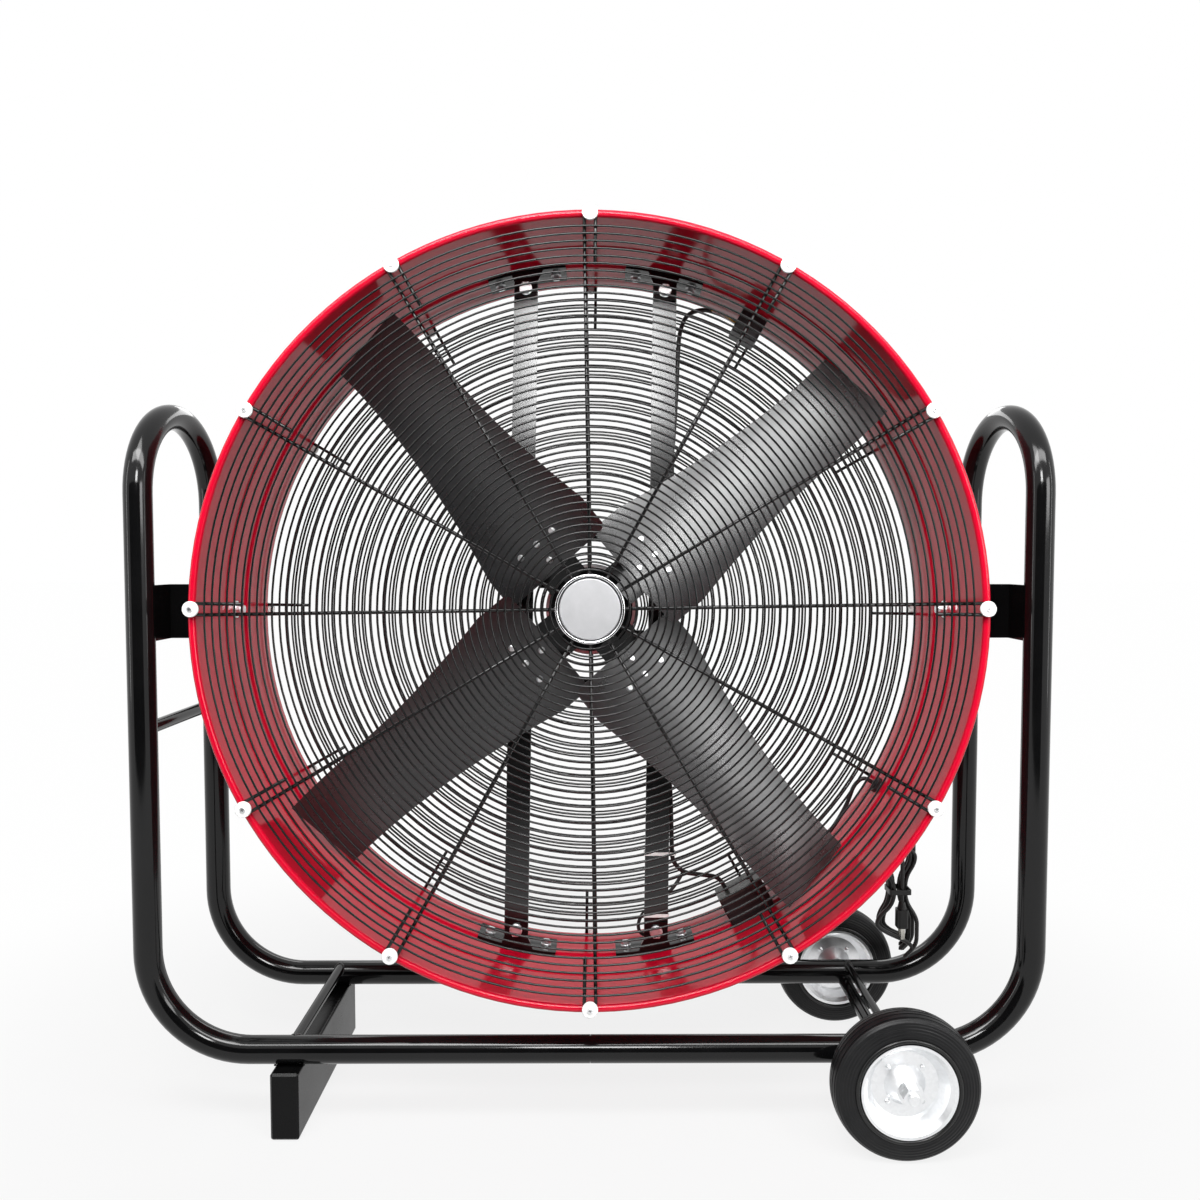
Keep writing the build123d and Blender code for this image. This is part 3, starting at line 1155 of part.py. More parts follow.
with BuildPart() as speed_knob:
    with BuildSketch(SWITCH_WALL.offset(KNOB_BASE)):
        Circle(KNOB_D / 2)
    extrude(amount=KNOB_HEIGHT / 2)
    crown = speed_knob.faces().sort_by(Axis(SWITCH_WALL.origin, SWITCH_WALL.z_dir))[-1]
    chamfer(crown.edges(), 1.5)
    with BuildSketch(SWITCH_WALL.offset(KNOB_BASE + KNOB_HEIGHT / 2)):
        SlotOverall(KNOB_D - 6.0, KNOB_D / 4)
    extrude(amount=KNOB_HEIGHT / 2)
    with BuildSketch(SWITCH_WALL.offset(KNOB_BASE)):
        Circle(KNOB_SHAFT_D / 2)
    extrude(amount=SWITCH_BASE - KNOB_SHAFT_REACH - KNOB_BASE)
save(speed_knob, "speed_knob")


# ============================================================ junction box
BOX_WALL_PLANE = wall_plane(BOX_ANGLE, BOX_MIDDLE, DRUM_RADIUS)
BOX_BASE = -seat_height(BOX_LENGTH / 2)
BOX_TOP = BOX_BASE - BOX_HEIGHT
LEAD_SLIP = LEAD_D / 2 + SLIP
LEAD_ENTRY = 20.0               # motor lead's hole from the middle of the lid
CORD_ENTRY = BOX_TOP + 16.0     # height of the supply cord's hole

with BuildPart() as junction_box:
    with BuildSketch(BOX_WALL_PLANE.offset(BOX_BASE)):
        RectangleRounded(BOX_LENGTH, BOX_DEPTH, BOX_FILLET)
    extrude(amount=-BOX_HEIGHT)
    with BuildSketch(BOX_WALL_PLANE.offset(BOX_BASE - BOX_WALL)):
        RectangleRounded(BOX_LENGTH - 2 * BOX_WALL, BOX_DEPTH - 2 * BOX_WALL, BOX_FILLET / 2)
    extrude(amount=-BOX_HEIGHT, mode=Mode.SUBTRACT)
    with BuildSketch(Plane(BOX_WALL_PLANE.location * Location((0, 0, CORD_ENTRY), (0, 90, 0)))):
        Circle(CORD_D / 2 + SLIP)
    extrude(amount=BOX_LENGTH, mode=Mode.SUBTRACT)
save(junction_box, "junction_box")

with BuildPart() as junction_lid:
    with BuildSketch(BOX_WALL_PLANE.offset(BOX_TOP - SEAT)):
        RectangleRounded(BOX_LENGTH, BOX_DEPTH, BOX_FILLET)
        with Locations((-LEAD_ENTRY, 0), (LEAD_ENTRY, 0)):
            Circle(LEAD_SLIP, mode=Mode.SUBTRACT)
    extrude(amount=-BOX_LID)
    outer_face = junction_lid.faces().sort_by(Axis(BOX_WALL_PLANE.origin, BOX_WALL_PLANE.z_dir))[0]
    chamfer(outer_face.outer_wire().edges(), BOX_LID / 4)
save(junction_lid, "junction_lid")

with BuildPart() as run_capacitor:
    lying = Location((0, BOX_DEPTH / 6, BOX_BASE - BOX_WALL - CAPACITOR_D / 2 - SEAT), (0, 90, 0))
    with BuildSketch(Plane(BOX_WALL_PLANE.location * lying)):
        Circle(CAPACITOR_D / 2)
    extrude(amount=CAPACITOR_LENGTH / 2, both=True)
    fillet(run_capacitor.edges(), 1.5)
save(run_capacitor, "run_capacitor")


# ============================================================ cord gland
GLAND_WALL = wall_plane(GLAND_ANGLE, GLAND_MIDDLE, DRUM_RADIUS)
GLAND_NUT_R = GLAND_NUT_FLATS / 2 / math.cos(math.radians(30))
GLAND_INNER_SEAT = -seat_height(GLAND_NUT_R)
GLAND_INNER_END = GLAND_INNER_SEAT - GLAND_NUT_HEIGHT - 2.0
GLAND_OUTER_SEAT = DRUM_WALL + SEAT
GLAND_END = GLAND_OUTER_SEAT + GLAND_REACH

with BuildPart() as cord_gland:
    with BuildSketch(GLAND_WALL.offset(GLAND_INNER_SEAT)):
        RegularPolygon(GLAND_NUT_FLATS / 2, 6, major_radius=False)
    extrude(amount=-GLAND_NUT_HEIGHT)
    with BuildSketch(GLAND_WALL.offset(GLAND_INNER_END)):
        Circle(GLAND_THREAD_D / 2)
    extrude(amount=GLAND_OUTER_SEAT - GLAND_INNER_END)
    with BuildSketch(GLAND_WALL.offset(GLAND_OUTER_SEAT)):
        RegularPolygon(GLAND_NUT_FLATS / 2, 6, major_radius=False)
    extrude(amount=GLAND_NUT_HEIGHT)
    with BuildSketch(GLAND_WALL.offset(GLAND_OUTER_SEAT + GLAND_NUT_HEIGHT)):
        Circle(GLAND_THREAD_D / 2 + 1.0)
    with BuildSketch(GLAND_WALL.offset(GLAND_END)):
        Circle(CORD_D / 2 + 1.6)
    loft()
save(cord_gland, "cord_gland")


# ============================================================ cables inside
def around(radius, angle, along):
    """A point given by its radius and angle round the drum's axis."""
    turn = math.radians(angle)
    return on_drum(radius * math.cos(turn), radius * math.sin(turn), along)


box_end = BOX_WALL_PLANE.from_local_coords(Vector(BOX_LENGTH / 2 - BOX_WALL, 0, CORD_ENTRY))
box_out = BOX_WALL_PLANE.from_local_coords(Vector(BOX_LENGTH / 2 + 23.0, 0, CORD_ENTRY))
gland_in = GLAND_WALL.from_local_coords(Vector(0, 0, GLAND_INNER_END))
cables("inner_cord", [[
    box_end,
    box_out,
    around(528.0, -50.5, -70.0),
    around(529.5, -45.5, -74.0),
    around(527.0, -41.0, -76.0),
    around(520.5, -37.0, -76.0),
    around(512.5, -33.8, GLAND_MIDDLE),
    around(518.0, GLAND_ANGLE, GLAND_MIDDLE),
    gland_in,
]], CORD_D)

lid_entry = BOX_WALL_PLANE.from_local_coords(Vector(-LEAD_ENTRY, 0, BOX_TOP - SEAT))
lid_above = BOX_WALL_PLANE.from_local_coords(Vector(-LEAD_ENTRY, 0, BOX_TOP - SEAT - 28.0))
LEAD_START = LEAD_BOSS_REACH + SEAT
LEAD_TO_BOX = [
    around(LEAD_START, -LEAD_EXIT_ANGLE, LEAD_EXIT_Z),
    around(LEAD_START + 22.0, -LEAD_EXIT_ANGLE, LEAD_EXIT_Z),
    on_drum(82.0, -112.0, -74.0),
    on_drum(102.0, -152.0, -60.0),
    on_drum(117.0, -198.0, -51.0),
    on_drum(124.0, -248.0, -48.5),
    on_drum(127.0, -302.0, -48.8),
    on_drum(128.0, -352.0, -48.5),
    on_drum(129.0, -400.0, -49.0),
    on_drum(147.0, -420.0, -55.0),
    on_drum(175.0, -425.0, -62.0),
    lid_above,
    lid_entry,
]
switch_in = SWITCH_WALL.from_local_coords(Vector(SWITCH_SIZE / 2 + SEAT, 0, SWITCH_BASE - SWITCH_HEIGHT / 2))
switch_by = SWITCH_WALL.from_local_coords(Vector(SWITCH_SIZE / 2 + 24.0, 0, SWITCH_BASE - SWITCH_HEIGHT / 2))
LEAD_TO_SWITCH = [
    around(LEAD_START, LEAD_EXIT_ANGLE, LEAD_EXIT_Z),
    around(LEAD_START + 22.0, LEAD_EXIT_ANGLE, LEAD_EXIT_Z),
    on_drum(84.0, 112.0, -74.0),
    on_drum(106.0, 152.0, -60.0),
    on_drum(122.0, 198.0, -51.0),
    on_drum(130.0, 248.0, -48.5),
    on_drum(134.0, 302.0, -48.8),
    on_drum(137.0, 354.0, -49.0),
    on_drum(139.0, 402.0, -51.0),
    on_drum(142.0, 444.0, -56.0),
    on_drum(154.0, 476.0, -66.0),
    on_drum(183.0, 489.0, -76.0),
    switch_by,
    switch_in,
]
cables("motor_leads", [LEAD_TO_BOX, LEAD_TO_SWITCH], LEAD_D)

TIE_FRONT = STRUT_FRONT + SEAT

with BuildPart() as cable_ties:
    # one round the strut and its lead, one round the strut alone
    for up, right, back in ((-386.0, 133.0, -52.8), (-483.0, 122.0, STRUT_BACK - SEAT)):
        left = STRUT_X - STRUT_WIDTH / 2 - math.radians(MOUNT_TURN) * up - SLIP
        wide = right - left
        deep = TIE_FRONT - back
        band = Plane(origin=on_drum((left + right) / 2, up, (TIE_FRONT + back) / 2),
                     x_dir=DRUM.x_dir, z_dir=DRUM.y_dir)
        with BuildSketch(band):
            RectangleRounded(wide + 2 * TIE_THICKNESS, deep + 2 * TIE_THICKNESS, 2 * TIE_THICKNESS)
            RectangleRounded(wide, deep, 2 * SLIP, mode=Mode.SUBTRACT)
        extrude(amount=TIE_WIDTH / 2, both=True)
save(cable_ties, "cable_ties")


# ==================================================== supply cord and its hank
HANK = Plane(origin=(HANK_X, HANK_Y, HANK_Z), x_dir=(1, 0, 0), z_dir=(0, 0, 1))
LAYER_REAR = HANK_LAYER / 2
LAYER_FRONT = -HANK_LAYER / 2
LAYER_PLUG = LAYER_FRONT - HANK_LAYER - HANK_FORWARD
HANK_START = Vector(HANK_LOBE + HANK_STEP, LAYER_REAR, HANK_HALF_HEIGHT + CORD_D)


def waist(strand):
    """Where a strand at this distance from the middle passes through the tie."""
    return math.copysign(abs(strand) - HANK_LOBE + HANK_WAIST, strand)


def shift(start, end):
    """Two equal arcs that start and end along Z."""
    middle = (start + end) / 2
    up = Vector(0, 0, math.copysign(1, end.Z - start.Z))
    first = Edge.make_tangent_arc(start, up, middle)
    return [first, Edge.make_tangent_arc(middle, first % 1, end)]


def strand_edges(way, lobe, tied, layers):
    """A strand from one lobe to the other, way -1 down or 1 up, drawn in at the tie."""
    first, middle, last = layers
    enters = Vector(tied, middle, -way * HANK_TIED)
    leaves = Vector(tied, middle, way * HANK_TIED)
    return (shift(Vector(lobe, first, -way * HANK_HALF_HEIGHT), enters)
            + [Edge.make_line(enters, leaves)]
            + shift(leaves, Vector(lobe, last, way * HANK_HALF_HEIGHT)))


def lobe_edge(way, start, end, layer):
    """Half a turn from one strand to the next, above the hank or below it."""
    height = way * HANK_HALF_HEIGHT
    crest = height + way * abs(end - start) / 2
    return Edge.make_three_point_arc(Vector(start, layer, height),
                                     Vector((start + end) / 2, layer, crest),
                                     Vector(end, layer, height))


def hank_edges():
    """Strands spiral in through the rear layer and out through the front layer."""
    inner = HANK_LOBE
    outer = HANK_LOBE + HANK_STEP
    last = HANK_LOBE + 2 * HANK_STEP
    rear, front, plug = LAYER_REAR, LAYER_FRONT, LAYER_PLUG
    strands = [
        (outer, waist(outer), (rear, rear, rear)),
        (-outer, waist(-outer), (rear, rear, rear)),
        (inner, waist(inner), (rear, rear, rear)),
        (-inner, waist(-inner), (rear, rear, front)),
        (inner, waist(inner), (front, front, front)),
        (-outer, waist(-outer), (front, front, front)),
        (outer, waist(outer), (front, front, plug)),
        (-last, -HANK_LAST_WAIST, (plug, plug, plug)),
    ]
    edges = [Edge.make_line(HANK_START, Vector(outer, rear, HANK_HALF_HEIGHT))]
    way = -1
    for number, (lobe, tied, layers) in enumerate(strands):
        edges += strand_edges(way, lobe, tied, layers)
        following = strands[number + 1][0] if number + 1 < len(strands) else PLUG_STRAND
        edges.append(lobe_edge(way, lobe, following, layers[2]))
        way = -way
    edges.append(Edge.make_line(Vector(PLUG_STRAND, plug, HANK_HALF_HEIGHT),
                                Vector(PLUG_STRAND, plug, PLUG_TOP)))
    return edges


def least_gap(edges, diameter):
    """Least clear distance between parts of a path that aren't neighbours along it."""
    points = []
    travelled = 0.0
    for edge in edges:
        steps = max(2, math.ceil(edge.length / 2.0))
        for step in range(steps):
            points.append((travelled + edge.length * step / steps, edge @ (step / steps)))
        travelled += edge.length
    least = travelled
    spots = [(along, p.X, p.Y, p.Z) for along, p in points]
    for index, (along, x, y, z) in enumerate(spots):
        for other, x2, y2, z2 in spots[index + 1:]:
            if other - along > 6 * diameter:
                least = min(least, (x - x2) ** 2 + (y - y2) ** 2 + (z - z2) ** 2)
    return math.sqrt(least) - diameter


with BuildPart() as cord_hank:
    route = Wire(hank_edges()).moved(HANK.location)
    with BuildLine():
        add(route)
    with BuildSketch(Plane(origin=route @ 0, z_dir=route % 0)):
        Circle(CORD_D / 2)
    sweep()
hank_share = cord_hank.part.volume / (math.pi * CORD_D ** 2 / 4 * route.length)
print("cord_hank length", round(route.length, 1), "volume share", round(hank_share, 4),
      "least gap", round(least_gap(hank_edges(), CORD_D), 3))
save(cord_hank, "cord_hank")

gland_end = GLAND_WALL.from_local_coords(Vector(0, 0, GLAND_END))
hank_top = HANK.from_local_coords(HANK_START)
cables("supply_cord", [[
    gland_end,
    gland_end + GLAND_WALL.z_dir * 30.0,
    hank_top + Vector(0, 0, 24.0),
    hank_top,
]], CORD_D)

with BuildPart() as hank_tie:
    half_wide = waist(HANK_LOBE + HANK_STEP) + CORD_D / 2 + SLIP
    rear_face = LAYER_REAR + CORD_D / 2 + SLIP
    front_face = LAYER_PLUG - CORD_D / 2 - SLIP
    with BuildSketch(HANK.offset(-HANK_TIE_HEIGHT / 2)):
        with Locations((0, (rear_face + front_face) / 2)):
            RectangleRounded(2 * half_wide + 2 * HANK_TIE_THICKNESS,
                             rear_face - front_face + 2 * HANK_TIE_THICKNESS, CORD_D / 2)
            RectangleRounded(2 * half_wide, rear_face - front_face, CORD_D / 4,
                             mode=Mode.SUBTRACT)
    extrude(amount=HANK_TIE_HEIGHT)
save(hank_tie, "hank_tie")

PLUG = Plane(origin=HANK.from_local_coords(Vector(PLUG_STRAND, LAYER_PLUG, PLUG_TOP)),
             x_dir=(1, 0, 0), z_dir=(0, 0, -1))

with BuildPart() as plug_body:
    with BuildSketch(PLUG):
        Circle(PLUG_NECK / 2)
    with BuildSketch(PLUG.offset(PLUG_RELIEF)):
        Circle(PLUG_WIDTH / 2 - 1.5)
    loft()
    with BuildSketch(PLUG.offset(PLUG_RELIEF)):
        RectangleRounded(PLUG_WIDTH, PLUG_WIDTH, PLUG_WIDTH / 4)
    extrude(amount=PLUG_LENGTH)
    chamfer(plug_body.faces().sort_by(Axis.Z)[0].edges(), 1.0)
save(plug_body, "plug_body")

with BuildPart() as plug_blades:
    with BuildSketch(PLUG.offset(PLUG_RELIEF + PLUG_LENGTH)):
        with Locations((0, PLUG_BLADE_SPACING / 2), (0, -PLUG_BLADE_SPACING / 2)):
            Rectangle(PLUG_BLADE_WIDTH, PLUG_BLADE_THICKNESS)
    extrude(amount=PLUG_BLADE_LENGTH)
save(plug_blades, "plug_blades")
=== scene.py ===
import json
import math
import random

import bmesh
import bpy
from mathutils import Matrix, Vector

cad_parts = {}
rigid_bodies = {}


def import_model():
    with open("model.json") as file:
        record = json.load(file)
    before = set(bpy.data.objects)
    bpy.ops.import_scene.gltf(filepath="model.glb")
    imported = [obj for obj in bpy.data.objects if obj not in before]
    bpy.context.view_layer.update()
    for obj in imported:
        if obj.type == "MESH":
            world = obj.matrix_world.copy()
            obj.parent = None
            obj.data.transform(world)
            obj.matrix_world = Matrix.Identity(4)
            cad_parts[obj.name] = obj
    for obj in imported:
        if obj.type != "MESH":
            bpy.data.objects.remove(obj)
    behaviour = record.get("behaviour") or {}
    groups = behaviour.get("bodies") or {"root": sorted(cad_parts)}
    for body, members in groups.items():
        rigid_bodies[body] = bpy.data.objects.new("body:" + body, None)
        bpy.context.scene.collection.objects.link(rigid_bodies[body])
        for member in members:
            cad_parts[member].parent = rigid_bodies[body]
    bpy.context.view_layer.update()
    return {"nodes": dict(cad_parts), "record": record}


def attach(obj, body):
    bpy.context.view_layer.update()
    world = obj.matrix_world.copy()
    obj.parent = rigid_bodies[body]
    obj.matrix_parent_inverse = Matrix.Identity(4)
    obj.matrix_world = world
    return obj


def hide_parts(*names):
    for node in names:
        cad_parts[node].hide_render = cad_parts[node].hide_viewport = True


for leftover in list(bpy.data.objects):
    bpy.data.objects.remove(leftover)

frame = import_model()
nodes = frame["nodes"]

# ------------------------------------------------------------------ sizes, in metres
FULL_TURN = 2 * math.pi

PIVOT_Z = 0.7405                    # height of the drum's pivots
REST_TILT = math.radians(3.2)       # how far the drum's face leans back at rest

TUBE_R = 0.01905
SIDE_X = 0.631                      # middle of the uprights
SIDE_Y = 0.1234                     # middle of the tubes at the front and the back
BASE_Z = 0.115                      # middle of the base tubes
CROSS_RODS = ((-0.425, 0.125, 0.008), (0.436, 0.128, 0.006))    # x, z and radius
SIDE_ROD_Z = 0.576
SIDE_ROD_R = 0.0095
FOOT_X = -0.430
FOOT_HALF_WIDTH = 0.020
FOOT_TOP = 0.09585

WHEEL_X = 0.430
WHEEL_Y = 0.190
AXLE_Z = 0.1015

CLIP_COUNT = 12
CLIP_RADIUS = 0.549

# The drum's own axes: right, up, and out of the front grille.
DRUM_RIGHT = Vector((1.0, 0.0, 0.0))
DRUM_UP = Vector((0.0, math.sin(REST_TILT), math.cos(REST_TILT)))
DRUM_FRONT = Vector((0.0, -math.cos(REST_TILT), math.sin(REST_TILT)))
DRUM_MIDDLE = Vector((0.0, 0.0, PIVOT_Z))


def on_drum(x, y, z):
    """A point given along the drum's own axes."""
    return DRUM_MIDDLE + DRUM_RIGHT * x + DRUM_UP * y + DRUM_FRONT * z


def axes(origin, x_axis, z_axis):
    """Matrix of a frame with this origin, x axis and z axis."""
    x_axis = Vector(x_axis).normalized()
    z_axis = Vector(z_axis).normalized()
    y_axis = z_axis.cross(x_axis)
    turn = Matrix((x_axis, y_axis, z_axis)).transposed().to_4x4()
    return Matrix.Translation(Vector(origin)) @ turn


# ---------------------------------------------------------------------- materials
TYRE_RING_SCALE = 78.0              # turned rings 4 mm apart
BADGE_RING_SCALE = 260.0            # turned rings 1.2 mm apart


class Shader:
    """A Principled material whose colour, roughness and bump come from noise."""

    def __init__(self, name):
        self.material = bpy.data.materials.new(name)
        self.material.use_nodes = True
        self.tree = self.material.node_tree
        self.body = self.tree.nodes["Principled BSDF"]
        self.where = self.add("ShaderNodeTexCoord").outputs["Object"]

    def add(self, kind, inputs=None, **settings):
        """Adds a node, with its settings and the values of its sockets."""
        node = self.tree.nodes.new(kind)
        for key, value in settings.items():
            setattr(node, key, value)
        for socket, value in (inputs or {}).items():
            node.inputs[socket].default_value = value
        return node

    def link(self, source, target):
        self.tree.links.new(source, target)

    def set(self, **sockets):
        for key, value in sockets.items():
            self.body.inputs[key.replace("_", " ")].default_value = value

    def mapped(self, inputs):
        """Object coordinates, moved or stretched."""
        mapping = self.add("ShaderNodeMapping", inputs)
        self.link(self.where, mapping.inputs["Vector"])
        return mapping.outputs["Vector"]

    def noise(self, scale, detail=4.0, rough=0.55, stretch=None):
        node = self.add("ShaderNodeTexNoise",
                        {"Scale": scale, "Detail": detail, "Roughness": rough})
        source = self.mapped({"Scale": stretch}) if stretch else self.where
        self.link(source, node.inputs["Vector"])
        return node.outputs["Fac"]

    def rings(self, source, inputs):
        """Waves round the origin of the given coordinates."""
        node = self.add("ShaderNodeTexWave", inputs, wave_type="RINGS", rings_direction="SPHERICAL")
        self.link(source, node.inputs["Vector"])
        return node.outputs["Fac"]

    def ramp(self, source, stops):
        node = self.add("ShaderNodeValToRGB")
        band = node.color_ramp
        while len(band.elements) < len(stops):
            band.elements.new(0.5)
        for element, (place, color) in zip(band.elements, stops):
            element.position = place
            element.color = (*color, 1.0)
        self.link(source, node.inputs["Fac"])
        return node.outputs["Color"]

    def color(self, source, dark, light, start=0.3, end=0.7):
        """Spreads the colour between two shades by a noise."""
        tint = self.ramp(source, [(start, dark), (end, light)])
        self.link(tint, self.body.inputs["Base Color"])

    def rough(self, source, low, high, start=0.3, end=0.7):
        """Spreads the roughness between two values by a noise."""
        node = self.add("ShaderNodeMapRange",
                        {"From Min": start, "From Max": end, "To Min": low, "To Max": high})
        self.link(source, node.inputs["Value"])
        self.link(node.outputs["Result"], self.body.inputs["Roughness"])

    def bump(self, source, depth):
        """Adds a height, in metres, to the bumps already there."""
        node = self.add("ShaderNodeBump", {"Strength": 1.0, "Distance": depth})
        self.link(source, node.inputs["Height"])
        socket = self.body.inputs["Normal"]
        if socket.is_linked:
            self.link(socket.links[0].from_socket, node.inputs["Normal"])
        self.link(node.outputs["Normal"], socket)


def shades(color, vary):
    """The colour a little darker and a little lighter."""
    factors = (1.0 - vary, 1.0 + vary)
    return [tuple(min(1.0, channel * factor) for channel in color) for factor in factors]


def paint(name, color, rough, peel, gloss, dust=0.25):
    """Sprayed paint: orange peel, uneven gloss and a trace of dust."""
    s = Shader(name)
    cloud = s.noise(9.0, 6.0, 0.6)
    grain = s.noise(1400.0, 2.0, 0.5)
    s.color(cloud, *shades(color, dust))
    s.rough(cloud, *rough)
    s.bump(s.noise(420.0, 3.0, 0.5), peel)
    s.bump(grain, peel / 4)
    s.set(Specular_IOR_Level=gloss)
    return s.material


def metal(name, color, rough, grain, depth, vary=0.12, stretch=None):
    """Bare or plated metal: uneven brightness and fine marks."""
    s = Shader(name)
    cloud = s.noise(38.0, 5.0, 0.6)
    marks = s.noise(grain, 4.0, 0.6, stretch)
    s.color(cloud, *shades(color, vary), end=0.72)
    s.rough(marks, *rough)
    s.bump(marks, depth)
    s.set(Metallic=1.0)
    return s.material


def plastic(name, color, rough, grain, depth, vary, gloss=0.4):
    """Moulded plastic: fine texture and uneven gloss."""
    s = Shader(name)
    cloud = s.noise(30.0, 5.0, 0.6)
    s.color(cloud, *shades(color, vary))
    s.rough(cloud, *rough)
    s.bump(s.noise(grain, 3.0, 0.6), depth)
    s.set(Specular_IOR_Level=gloss)
    return s.material


def zinc(name):
    """Bright zinc plate with faint spangle and tool marks."""
    s = Shader(name)
    cells = s.add("ShaderNodeTexVoronoi", {"Scale": 260.0}, feature="F1")
    s.link(s.where, cells.inputs["Vector"])
    grey = s.add("ShaderNodeRGBToBW")
    s.link(cells.outputs["Color"], grey.inputs["Color"])
    s.color(grey.outputs["Val"], (0.86, 0.87, 0.88), (0.93, 0.94, 0.95), 0.0, 1.0)
    s.rough(s.noise(60.0, 6.0, 0.65), 0.30, 0.36)
    s.bump(s.noise(900.0, 3.0, 0.6), 2e-6)
    s.set(Metallic=1.0)
    return s.material


def tyre(name):
    """Moulded rubber with fine turned rings about the axle and a bloom of dust."""
    s = Shader(name)
    flat = s.mapped({"Location": (-WHEEL_X, 0.0, -AXLE_Z), "Scale": (1.0, 0.0, 1.0)})
    rings = s.rings(flat, {"Scale": TYRE_RING_SCALE, "Distortion": 0.0})
    cloud = s.noise(24.0, 6.0, 0.65)
    s.color(cloud, (0.005, 0.005, 0.0055), (0.011, 0.011, 0.0115), end=0.75)
    s.rough(cloud, 0.30, 0.48)
    s.bump(rings, 4e-4)
    s.bump(s.noise(700.0, 4.0, 0.6), 5e-5)
    s.set(Specular_IOR_Level=0.22)
    return s.material


def badge(name):
    """Satin silver, turned in fine rings about the drum's axis."""
    s = Shader(name)
    middle = s.mapped({"Location": (0.0, 0.0, -PIVOT_Z)})
    rings = s.rings(middle, {"Scale": BADGE_RING_SCALE, "Distortion": 1.5, "Detail": 3.0,
                             "Detail Scale": 4.0})
    cloud = s.noise(45.0, 4.0, 0.6)
    s.color(cloud, (0.41, 0.41, 0.42), (0.46, 0.46, 0.47))
    s.rough(rings, 0.44, 0.47, 0.0, 1.0)
    s.bump(rings, 1e-6)
    s.set(Metallic=0.85)
    return s.material


ZINC = zinc("zinc_bright")
TYRE = tyre("tyre_rubber")
SILVER = badge("badge_silver")

# colour, roughness, depth of the orange peel, gloss and dust
BLACK = paint("black_gloss", (0.0035, 0.0035, 0.0037), (0.08, 0.14), 8e-6, 0.32)
STRAP = paint("black_strap", (0.0035, 0.0035, 0.0037), (0.14, 0.20), 8e-6, 0.72)
FOOT = paint("black_foot", (0.0025, 0.0025, 0.0026), (0.20, 0.30), 3e-5, 0.14)
WELD = paint("black_weld", (0.009, 0.009, 0.009), (0.22, 0.36), 1e-4, 0.42)
RED = paint("red_gloss", (0.58, 0.003, 0.024), (0.10, 0.18), 1.2e-5, 0.28, 0.06)
WIRE = paint("black_wire", (0.003, 0.003, 0.003), (0.12, 0.20), 1e-5, 0.34)
BLADE = paint("blade_satin", (0.015, 0.015, 0.016), (0.24, 0.32), 2e-5, 1.0)

# colour, roughness, scale and depth of the marks, unevenness and stretch
STEEL = metal("bearing_steel", (0.50, 0.50, 0.51), (0.18, 0.32), 500.0, 2e-5)
IRON = metal("core_iron", (0.17, 0.17, 0.175), (0.45, 0.65), 350.0, 8e-5)
CAST = metal("cast_aluminium", (0.60, 0.61, 0.62), (0.34, 0.52), 520.0, 8e-5)
CHROME = metal("badge_bright", (0.88, 0.88, 0.89), (0.05, 0.12), 300.0, 5e-6, 0.03)
DIAL = metal("dial_silver", (0.66, 0.66, 0.67), (0.25, 0.38), 700.0, 1e-5, 0.06, (1.0, 1.0, 0.05))
PINS = metal("plug_pins", (0.74, 0.72, 0.66), (0.16, 0.28), 900.0, 5e-6, 0.06)

# colour, roughness, scale and depth of the grain, unevenness and gloss
NYLON = plastic("white_nylon", (0.86, 0.86, 0.85), (0.28, 0.40), 600.0, 3e-5, 0.04)
PLASTIC = plastic("black_plastic", (0.012, 0.012, 0.013), (0.35, 0.50), 900.0, 6e-5, 0.25)
LID = plastic("grey_lid", (0.045, 0.045, 0.04), (0.22, 0.34), 500.0, 2e-5, 0.15)
BEAD_RUBBER = plastic("bead_rubber", (0.008, 0.008, 0.008), (0.20, 0.30), 500.0, 2e-5, 0.2, 0.35)
CORD = plastic("cord_rubber", (0.010, 0.010, 0.010), (0.30, 0.44), 1500.0, 4e-5, 0.25)
MARK = plastic("mark_white", (0.80, 0.80, 0.79), (0.40, 0.55), 900.0, 1e-5, 0.05)
YELLOW = plastic("wire_yellow", (0.80, 0.55, 0.08), (0.32, 0.42), 900.0, 1e-5, 0.08)

SLOT_FINISHES = {
    "black_paint": BLACK,
    "red_paint": RED,
    "blade_paint": BLADE,
    "wire_paint": WIRE,
    "zinc_plate": ZINC,
    "bearing_steel": STEEL,
    "core_iron": IRON,
    "motor_aluminium": CAST,
    "badge_silver": SILVER,
    "badge_chrome": CHROME,
    "white_nylon": NYLON,
    "black_plastic": PLASTIC,
    "dial_silver": DIAL,
    "tyre_rubber": TYRE,
    "cord_rubber": CORD,
    "brass_pins": PINS,
}
NODE_FINISHES = {
    "junction_lid": LID,
    "foot_bar": FOOT,
    "foot_end_caps": FOOT,
    "motor_strut_left": STRAP,
    "motor_strut_right": STRAP,
}
for entry in frame["record"]["subparts"]:
    finish = NODE_FINISHES.get(entry["node"], SLOT_FINISHES[entry["material_slot"]])
    nodes[entry["node"]].data.materials.clear()
    nodes[entry["node"]].data.materials.append(finish)


# ------------------------------------------------------------------ piece helpers
def piece(name, mesh, material, body):
    """Puts a mesh in the scene as a piece that rides on a body."""
    item = bpy.data.objects.new(name, mesh)
    bpy.context.scene.collection.objects.link(item)
    mesh.materials.append(material)
    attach(item, body)
    return item


def finish_mesh(name, work, smooth=True):
    bmesh.ops.recalc_face_normals(work, faces=work.faces)
    mesh = bpy.data.meshes.new(name)
    work.to_mesh(mesh)
    work.free()
    if smooth:
        mesh.shade_smooth()
    return mesh


